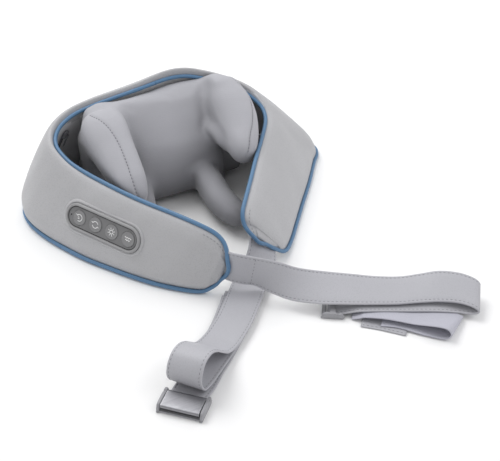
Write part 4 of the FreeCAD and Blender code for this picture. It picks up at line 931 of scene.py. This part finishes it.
# ------------------------------------------------------------------ straps
def ribbon(name, pairs, t, mat, n_per=9, stitched=True, edge_t=None, bulge=0.0, seams_at=(), thread=None, pucker=()):
    A = [V(a) for a, b in pairs]; Bq = [V(b) for a, b in pairs]
    N = (len(pairs)-1)*n_per
    ss = [1.0, 0.992, 0.972, 0.94, 0.89, 0.855, 0.82, 0.6, 0.3, 0.0, -0.3, -0.6, -0.82, -0.855, -0.89, -0.94, -0.972, -0.992, -1.0]
    verts, uvs, L, prev = [], [], 0.0, None
    edge = {1: [], -1: []}; width = 0.0; cross = {q: [] for q in seams_at}; area = 0.0; lastw = None
    for i in range(N+1):
        u = i/float(n_per); e = 0.05
        a, b = at(A, u), at(Bq, u)
        m0 = at(A, u-e)+at(Bq, u-e); m1 = at(A, u+e)+at(Bq, u+e)
        tn = (m1-m0).normalized(); w = (a-b); W = w.length; w = w/W; n = tn.cross(w).normalized()
        mid = (a+b)*0.5
        if prev is not None: L += (mid-prev).length; area += (mid-prev).length*(W+lastw)/2
        prev = mid; width += W; lastw = W
        row = []
        pk = sum(0.7*math.exp(-((u-c)/0.10)**2) for c in pucker)
        for side in (1, -1):
            seq = ss if side > 0 else list(reversed(ss))[1:-1]
            for s in seq:
                x = abs(s)
                h = t/2*(1.0 if x < 0.94 else math.sqrt(max(0.0, 1-((x-0.94)/0.06)**2)))
                if stitched: h -= 0.20*math.exp(-((x-0.855)/0.022)**2)
                h = max(h, 0.0)*side
                p = mid + w*(s*W/2) + n*(h + bulge*(1-s*s) + pk*math.sin(s*7.0)*0.35)
                for q in seams_at:
                    if abs(u-q) < 0.5: p = p - n*side*0.28*math.exp(-((u-q)*L_STEP(A, Bq, q)/0.9)**2)
                if p.z < 0.12: p.z = 0.12
                row.append(p); uvs.append(((s+1)*W/2000.0, L/1000.0))
        verts += row
        for s in (1, -1):
            q = mid + w*(s*0.855*W/2)
            edge[s].append((q + n*(t/2-0.2), n.copy()))
            edge.setdefault(-2*s, []).append((q - n*(t/2-0.2), -n))
    m = 2*len(ss)-2
    faces = grid_faces(N+1, m)
    for base, rev in ((0, True), (N*m, False)):
        c = sum((verts[base+k] for k in range(m)), V((0, 0, 0)))/m; verts.append(c); ci = len(verts)-1; uvs.append(uvs[base])
        for j in range(m):
            k = (j+1) % m
            faces.append((base+k, base+j, ci) if rev else (base+j, base+k, ci))
    o = make(name, verts, faces, mat, uvs=uvs); fix_normals(o)
    objs = [o]
    if stitched:
        runs = [edge[1], edge[-1], edge[-2], edge[2]]
        for q in seams_at:
            i = int(round(q*n_per))
            nn = edge[1][i][1]; mid_a = edge[1][i][0]; mid_b = edge[-1][i][0]
            runs.append([(mid_a.lerp(mid_b, -0.05+1.1*k/12), nn) for k in range(13)])
            o1, o2 = edge[-2][i], edge[2][i]
            runs.append([(o1[0].lerp(o2[0], -0.05+1.1*k/12), -nn) for k in range(13)])
        st = stitches(name+"_stitches", runs, thread or M_THREAD, length=2.7, pitch=4.3, r=0.27, lift=0.02)
        objs.append(st)
    print(name, "length %.1f mm width %.1f area %.5f" % (L, width/(N+1), area/1e6))
    return objs, width/(N+1)/1000.0, L/1000.0, area/1e6

def L_STEP(A, Bq, q):
    return ((at(A, q+0.2)+at(Bq, q+0.2))-(at(A, q-0.2)+at(Bq, q-0.2))).length/2/0.4

n_tip = frame_at(0.6)[3]
n_tip_r = frame_at(N_END-0.6)[3]
STRAP_RIGHT_IN = [(V(a)-n_tip_r*k, V(b)-n_tip_r*k) for (a, b), k in zip(STRAP_RIGHT[:2], (6.5, 3.6))] + STRAP_RIGHT[2:]
ELASTIC_SOFT = [(V(a)+V((0, 0, p)), V(b)+V((0, 0, q))) for (a, b), (p, q) in zip(ELASTIC,
    ((0, 0), (0, 0.5), (0, 1.4), (0, 2.6), (0, 2.2), (0, 4.6), (0.2, 6.0), (0.6, 3.2), (0, 0.4), (0, 0), (0, 0), (0, 0)))]
STRAP_LEFT_IN = [(V(a)-n_tip*k, V(b)-n_tip*k) for (a, b), k in zip(STRAP_LEFT[:2], (9.0, 3.6))] + STRAP_LEFT[2:]
for nm, pairs, t, mat, body, stitched, kw, held, rests, slotn in (
    ("strap_left", STRAP_LEFT_IN, 2.2, M_STRAP, "arm_left", True, dict(seams_at=(2.62,), pucker=(7.35,)), "laid", ("floor",), "webbing"),
    ("strap_right", STRAP_RIGHT_IN, 2.2, M_STRAP, "arm_right", True, dict(seams_at=(21.4,)), "laid", ("floor",), "webbing"),
    ("strap_right_tail", STRAP_TAIL, 1.5, M_STRAP, "arm_right", True, dict(), "laid", ("floor",), "webbing"),
    ("elastic_strap", ELASTIC_SOFT, 1.5, M_ELASTIC, "arm_left", False, dict(), "folded", ("floor",), "elastic"),
    ("elastic_end", ELASTIC_END, 1.3, M_STRAP, "arm_left", True, dict(), "laid", ("floor",), "webbing")):
    objs, wd, ln, ar = ribbon(nm + "_cloth", pairs, t, mat, stitched=stitched, **kw)
    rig.replaces(objs[0], nm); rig.slot(objs[0], slotn)
    STRAPS = globals().setdefault("STRAPS", {}); STRAPS[nm] = (objs, wd, ln, ar, held)
    for o in objs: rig.ride(o, body)
    if len(objs) > 1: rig.slot(objs[1], slotn)

# ------------------------------------------------------------------ control panel
PC = V((-120.02, 22.19, 43.81)); PL = V((0.5061, -0.8615, -0.0421)).normalized()
PN = V((-0.7758, -0.476, 0.4141)).normalized(); PP = PN.cross(PL).normalized()
if PP.z < 0: PP = -PP
PN2 = PL.cross(PP).normalized()
def pan(x, y, z): return PC + PL*x + PP*y + PN*z

def pill_ring(L, W, inset, z, n=20):
    r = W/2.0-inset; a = L/2.0-W/2.0; pts = []
    for s, base in ((1, -math.pi/2), (-1, math.pi/2)):
        for k in range(n+1):
            t = base + math.pi*k/n
            pts.append(pan(s*a + r*math.cos(t), r*math.sin(t), z))
    return pts

def lathe_pill(name, L, W, prof, mat, cap_top=False, cap_bot=False):
    rings = [pill_ring(L, W, i, z) for i, z in prof]; m = len(rings[0])
    v = [p for r in rings for p in r]; f = grid_faces(len(rings), m)
    if cap_top: f.append([(len(rings)-1)*m + k for k in range(m)])
    if cap_bot: f.append([k for k in range(m)][::-1])
    o = make(name, v, f, mat); fix_normals(o); return o
bez = lathe_pill("panel_bezel", 100.0, 30.0, [(0.0,-8.8),(0.0,-0.6),(0.05,0.6),(0.3,1.5),(0.8,2.15),(1.5,2.5),(2.2,2.55),(2.8,2.35),(3.15,1.9),(3.3,1.3),(3.35,0.6),(3.38,-1.4),(3.45,-8.8),(1.7,-8.9)], M_BEZEL, False, False)
auto_smooth(bez, 50)
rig.replaces(bez, "control_bezel"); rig.slot(bez, "bezel_plastic"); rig.ride(bez, "arm_left")
# painted shade: this dark ring fills the groove between the bezel rim and the face
grv = lathe_pill("panel_groove", 93.0, 23.0, [(0.0, 0.9), (0.05, 1.14), (0.45, 1.2), (0.85, 1.14), (0.9, 0.9)], M_GROOVE)
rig.slot(grv, "face_plastic"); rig.ride(grv, "arm_left")
# padded welt of the cover round the panel
welt = lathe_pill("panel_welt", 100.0, 30.0, [(-0.15,-2.5),(-0.2,-0.3),(-0.6,0.15),(-1.4,0.28),(-2.4,0.1),(-3.6,-0.7),(-4.2,-2.6)], M_BAND)
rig.slot(welt, "band_leather"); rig.ride(welt, "arm_left")

BTN_X = [22.0*(i-1.5)+2.0 for i in range(4)]
def disc(name, cx, prof, mat, n=48):
    rings = [[pan(cx + r*math.cos(2*math.pi*k/n), r*math.sin(2*math.pi*k/n), z) for k in range(n)] for r, z in prof]
    v, f = ring_mesh(rings); o = make(name, v, f, mat); fix_normals(o); auto_smooth(o, 60); return o

def strokes(name, cx, lines, mat, z=1.62, r=0.42):
    """flat raised line icons; lines are lists of (x, y) in mm on the key"""
    V_, F_ = [], []
    for ln in lines:
        pts = [pan(cx+x, y, z + dz(x, y)) for x, y in ln]
        rr = tube_rings(pts, r, 8)
        for i, ring in enumerate(rr):
            rr[i] = [pts[i] + ((p-pts[i]) - PN*((p-pts[i]).dot(PN))) + PN*((p-pts[i]).dot(PN)*0.45) for p in ring]
        v, f = ring_mesh(rr); b = len(V_); V_ += v; F_ += [[i+b for i in q] for q in f]
    o = make(name, V_, F_, mat); fix_normals(o); return o
def dz(x, y): return 0.0016*(x*x+y*y)
def arc(r, a0, a1, n=18, cx=0, cy=0): return [(cx + r*math.cos(math.radians(a0+(a1-a0)*k/n)), cy + r*math.sin(math.radians(a0+(a1-a0)*k/n))) for k in range(n+1)]
ICONS = {
 "power": [arc(3.7, 150, -110, 24), [(-3.2, 1.9), (-4.6, 3.2)], [(-3.2, 1.9), (-1.6, 2.6)], [(-1.9, 0.6), (-0.3, 0.6)], [(-1.9, -0.9), (0.4, -0.9)]],
 "direction": [arc(3.6, 20, 160, 14), arc(3.6, 200, 340, 14), [(-3.4, 1.2), (-5.0, 2.2)], [(-3.4, 1.2), (-2.2, 2.9)], [(3.4, -1.2), (5.0, -2.2)], [(3.4, -1.2), (2.2, -2.9)]],
 "heat": [arc(2.1, 0, 360, 20)] + [[(3.1*math.cos(math.radians(a)), 3.1*math.sin(math.radians(a))), (4.7*math.cos(math.radians(a)), 4.7*math.sin(math.radians(a)))] for a in range(22, 382, 45)],
 "speed": [[(-4.2+0.42*k, 1.5+0.55*math.sin(k*0.95)) for k in range(21)], [(-3.0+0.40*k, -1.1+0.5*math.sin(k*0.95)) for k in range(16)]],
}
for x, nm in zip(BTN_X, ("power", "direction", "heat", "speed")):
    b = disc("key_"+nm, x, [(9.1,-3.1),(9.15,-2.5),(8.3,-2.4),(8.3,1.1),(8.22,1.45),(8.0,1.68),(7.6,1.78),(7.1,1.74),(6.5,1.66),(4.5,1.56),(2.2,1.52),(0.4,1.5)], M_BUTTON)
    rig.replaces(b, "button_"+nm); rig.slot(b, "button_plastic"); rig.ride(b, nm+"_key")
    ic = strokes("icon_"+nm, x, ICONS[nm], M_ICON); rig.slot(ic, "button_plastic"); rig.ride(ic, nm+"_key")

# ------------------------------------------------------------------ buckle and slide
def local(o, l):
    l = V((l[0], l[1], 0)).normalized(); w = V((-l.y, l.x, 0))
    return Matrix(((l.x, w.x, 0, o[0]), (l.y, w.y, 0, o[1]), (0, 0, 1, o[2]), (0, 0, 0, 1)))
MR = local((-133.0, -217.0, 0.0), (-0.70, -0.715))
ML = local((62.0, -154.6, 0.0), (-0.845, 0.535))
def solid_group(name, boxes, M, mat, width=0.5, extra=()):
    VV, FF = [], []
    for bx in boxes:
        w = bx[6] if len(bx) > 6 else width
        vs, fs = rounded(lambda bm: bm_box(bm, *bx[:6]), M, w, 3); b = len(VV)
        VV += vs; FF += [[i+b for i in f] for f in fs]
    for vs, fs in extra:
        b = len(VV); VV += vs; FF += [[i+b for i in f] for f in fs]
    o = make(name, VV, FF, mat); auto_smooth(o, 40); return o
def side_rail(M, y0, y1, x0, x1, h):
    """a rail with a rounded nose and a finger notch"""
    prof = [(x0, 0.15), (x1-1.0, 0.15), (x1, 1.0), (x1, h*0.45), (x1-1.2, h*0.72), (x1-4.0, h*0.97), (x0+8, h), (x0+6.6, h-0.9), (x0+4.8, h-1.0), (x0+3.4, h-0.1), (x0+1.2, h-0.4), (x0, h-1.6)]
    pr = smooth_closed([V((a, 0, b)) for a, b in prof], 3)
    rings = []
    for y, s in ((y0, 0.90), (y0+0.35, 0.985), (y0+0.8, 1.0), (y1-0.8, 1.0), (y1-0.35, 0.985), (y1, 0.90)):
        c = V(((x0+x1)/2, 0, h/2))
        rings.append([M @ V((c.x+(p.x-c.x)*(0.5+s/2), y, c.z+(p.z-c.z)*(0.4+0.6*s))) for p in pr])
    return ring_mesh(rings)
frm = solid_group("buckle_frame_body", [(-11, 12, -19.5, 19.5, 0.05, 1.1, 0.3), (9.4, 12.4, -19.5, 19.5, 0.1, 1.6, 0.5), (-11.5, -10.0, -19.5, 19.5, 0.1, 1.9, 0.5)], MR, M_BUCKLE,
                  extra=[side_rail(MR, -22.4, -19.45, -12.5, 12.5, 8.6), side_rail(MR, 19.45, 22.4, -12.5, 12.5, 8.6)])
fix_normals(frm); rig.replaces(frm, "buckle_frame_right"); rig.slot(frm, "buckle_plastic"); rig.ride(frm, "arm_right")
def lever_plate(M):
    """slightly crowned plate with a rolled front lip, round barrel at the pivot"""
    xs = [(-8.5, 8.42), (-6.0, 8.55), (-2.0, 8.66), (3.0, 8.62), (8.0, 8.42), (10.4, 8.15), (11.4, 7.6), (11.85, 6.7), (11.7, 5.4), (11.0, 5.05), (10.3, 5.6), (10.0, 6.4), (8.0, 6.7), (0.0, 6.85), (-6.4, 6.6), (-7.3, 5.1), (-8.5, 4.45), (-9.7, 4.9), (-10.4, 6.4), (-9.9, 7.8)]
    pr = smooth_closed([V((a, 0, b)) for a, b in xs], 3); rings = []
    for y, s in ((-18.8, 0.93), (-18.5, 0.985), (-18.0, 1.0), (-9.0, 1.0), (0, 1.0), (9.0, 1.0), (18.0, 1.0), (18.5, 0.985), (18.8, 0.93)):
        c = V((0, 0, 7.0))
        rings.append([M @ V((p.x*(0.99+0.01*s), y, c.z+(p.z-c.z)*s)) for p in pr])
    return ring_mesh(rings)
v, f = lever_plate(MR); lev = make("buckle_lever_plate", v, f, M_LEVER); fix_normals(lev); auto_smooth(lev, 45)
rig.replaces(lev, "buckle_lever_right"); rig.slot(lev, "buckle_plastic"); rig.ride(lev, "buckle_lever")
slide = solid_group("strap_slide_body", [(-11, -7, -19.6, 19.6, 0.05, 1.2, 0.4), (-3, 3, -19.6, 19.6, 5.0, 7.0, 0.8), (7, 11, -19.6, 19.6, 0.05, 1.2, 0.4)], ML, M_BUCKLE,
                    extra=[side_rail(ML, -22.4, -19.45, -11, 11, 7.0), side_rail(ML, 19.45, 22.4, -11, 11, 7.0)])
fix_normals(slide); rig.replaces(slide, "strap_slide_left"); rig.slot(slide, "buckle_plastic"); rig.ride(slide, "arm_left")

# ------------------------------------------------------------------ zipper in the lining
ZU = 14.4
T, B, w_, n_, tan_ = frame_at(ZU)
def lining(f, h, s=0.0): return B + (T-B)*f - n_*h + tan_*s
rings = []
for i in range(41):
    f = 0.30 + 0.58*i/40
    hh = 4.9
    rings.append([lining(f, hh + dh, s) for s, dh in ((3.5,-0.6),(3.5,0.35),(3.1,0.6),(1.4,0.62),(0.9,0.35),(0,0.3),(-0.9,0.35),(-1.4,0.62),(-3.1,0.6),(-3.5,0.35),(-3.5,-0.6),(0,-0.62))])
v, f = ring_mesh(rings); tape = make("zip_tape_cloth", v, f, M_ZTAPE); fix_normals(tape)
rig.replaces(tape, "zipper_tape"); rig.slot(tape, "zip_tape"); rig.ride(tape, "core")
VV, FF = [], []
for i in range(44):
    fz = 0.31 + 0.56*i/44
    s = 0.55 if i % 2 else -0.55
    c = lining(fz, 5.35, s); up = (T-B).normalized()
    for a, b_, d in ((1, 1, 1),):
        base = len(VV)
        for dx in (-0.75, 0.75):
            for dy in (-0.36, 0.36):
                for dzz in (-0.45, 0.35):
                    VV.append(c + tan_*dx + up*dy - n_*dzz)
        FF += [[base+q for q in face] for face in ((0,1,3,2),(4,6,7,5),(0,4,5,1),(2,3,7,6),(0,2,6,4),(1,5,7,3))]
teeth = make("zip_teeth", VV, FF, M_ZTEETH, smooth=False); fix_normals(teeth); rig.slot(teeth, "zip_metal"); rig.ride(teeth, "core")

# ------------------------------------------------------------------ sewn details on the collar
def collar_stitch(name, u0, u1, side, body_blend, n=60, panel=True):
    runs = []
    run = []
    for i in range(n+1):
        u = u0 + (u1-u0)*i/n
        T, B, w, nn, tan = frame_tip(u); W = (T-B).length; k = min(1.0, W/55.0); o, r = crown(u); e = min(4.2, W*0.12)
        if side == "top": run.append((B + w*(W-e*0.95+6.6*r+puff(u)) + nn*(o*k*0.58), (nn+w*0.9).normalized()))
        else: run.append((B + w*(e*1.0) + nn*(o*k*0.33), (nn-w*0.5).normalized()))
    return run
for nm, tip, sgn, body in (("left", 0.35, 1, "arm_left"), ("right", N_END-0.35, -1, "arm_right")):
    runs = [collar_stitch("", tip, tip+sgn*3.2, "top", None), collar_stitch("", tip, tip+sgn*3.2, "bot", None)]
    st = stitches("edge_stitches_"+nm, runs, M_THREAD, length=2.4, pitch=4.2, r=0.24, lift=0.05)
    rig.slot(st, "band_leather"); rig.ride(st, body)

# ------------------------------------------------------------------ declarations of the straps
floor_name = "floor"
bm = bmesh.new(); bmesh.ops.create_grid(bm, x_segments=8, y_segments=8, size=4.0)
me = bpy.data.meshes.new("floor"); bm.to_mesh(me); bm.free()
floor = bpy.data.objects.new("floor", me); floor.location = (0, 0, -0.0004); bpy.context.scene.collection.objects.link(floor)
fm = Mat("floor_paper", (0.93, 0.93, 0.925), 0.8, spec=0.1)
fm.tint(fm.noise(3, 3), (0.95, 0.95, 0.945), 0.35, 0.75); fm.bump(fm.noise(700, 2), 0.00004, 0.3); me.materials.append(fm.done())
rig.stage(floor)
for nm, (objs, wd, ln, ar, held) in STRAPS.items():
    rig.sheet(objs[0], flat=(round(wd, 4), round(ln, 4)), held=held, rests_on=["floor"], with_pieces=objs[1:])

# ------------------------------------------------------------------ CAD nodes that stay: better materials
BY_SLOT = {
 "housing_plastic": plastic("housing_plastic", (0.055, 0.055, 0.06), 0.5), "steel": M_STEEL, "motor_steel": metal("motor_steel", (0.5, 0.5, 0.51), 0.35, "X"),
 "brass": metal("brass", (0.72, 0.56, 0.28), 0.28, "Y"), "nylon": plastic("nylon", (0.80, 0.78, 0.68), 0.4, coat=0.1), "cell_wrap": plastic("cell_wrap", (0.05, 0.16, 0.34), 0.25, coat=0.5),
 "circuit_board": plastic("circuit_board", (0.02, 0.16, 0.06), 0.35, coat=0.4), "heater": plastic("heater_film", (0.30, 0.10, 0.03), 0.4), "node_rubber": plastic("node_rubber", (0.06, 0.06, 0.065), 0.7),
 "face_plastic": M_FACE, "lens": M_LENS, "zip_metal": M_GUN, "jack_plastic": M_JACK, "buckle_plastic": M_BUCKLE, "bezel_plastic": M_BEZEL, "button_plastic": M_BUTTON,
 "band_leather": M_BAND, "pad_knit": M_PAD, "piping_cord": M_PIPE, "webbing": M_STRAP, "elastic": M_ELASTIC, "zip_tape": M_ZTAPE}
for sp in frame["record"]["subparts"]:
    o = NODES.get(sp["node"])
    if o is None or o.type != "MESH": continue
    m = BY_SLOT[sp["material_slot"]]
    if len(o.data.materials) == 0: o.data.materials.append(m)
    for sl in o.material_slots: sl.material = m

# ------------------------------------------------------------------ light
world = bpy.data.worlds.new("studio"); bpy.context.scene.world = world; world.use_nodes = True
world.node_tree.nodes["Background"].inputs[0].default_value = (0.985, 0.985, 1.0, 1)
world.node_tree.nodes["Background"].inputs[1].default_value = 0.66
def area(name, loc, target, size, power, color=(1, 1, 1)):
    l = bpy.data.lights.new(name, "AREA"); l.shape = "RECTANGLE"; l.size = size[0]; l.size_y = size[1]; l.energy = power; l.color = color
    o = bpy.data.objects.new(name, l); bpy.context.scene.collection.objects.link(o); o.location = loc
    o.rotation_euler = (V(target)-V(loc)).to_track_quat("-Z", "Y").to_euler(); return o
area("key", (-0.40, 0.95, 1.6), (0, 0, 0.03), (1.1, 1.1), 17)
area("fill", (1.2, -0.6, 1.3), (0, 0, 0.03), (1.4, 1.0), 7, (0.975, 0.975, 1.0))
area("back", (0.5, 1.4, 1.2), (0, 0, 0.06), (1.2, 0.8), 4)
sc = bpy.context.scene
sc.view_settings.view_transform = "Standard"; sc.view_settings.look = "None"; sc.view_settings.exposure = 0.0; sc.view_settings.gamma = 1.0

bpy.context.view_layer.update()
json.dump({"cad": [list(map(float, p)) for p in CAD_BOX], "visual": [list(map(float, p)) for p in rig.bounds()]}, open("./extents.json", "w"))
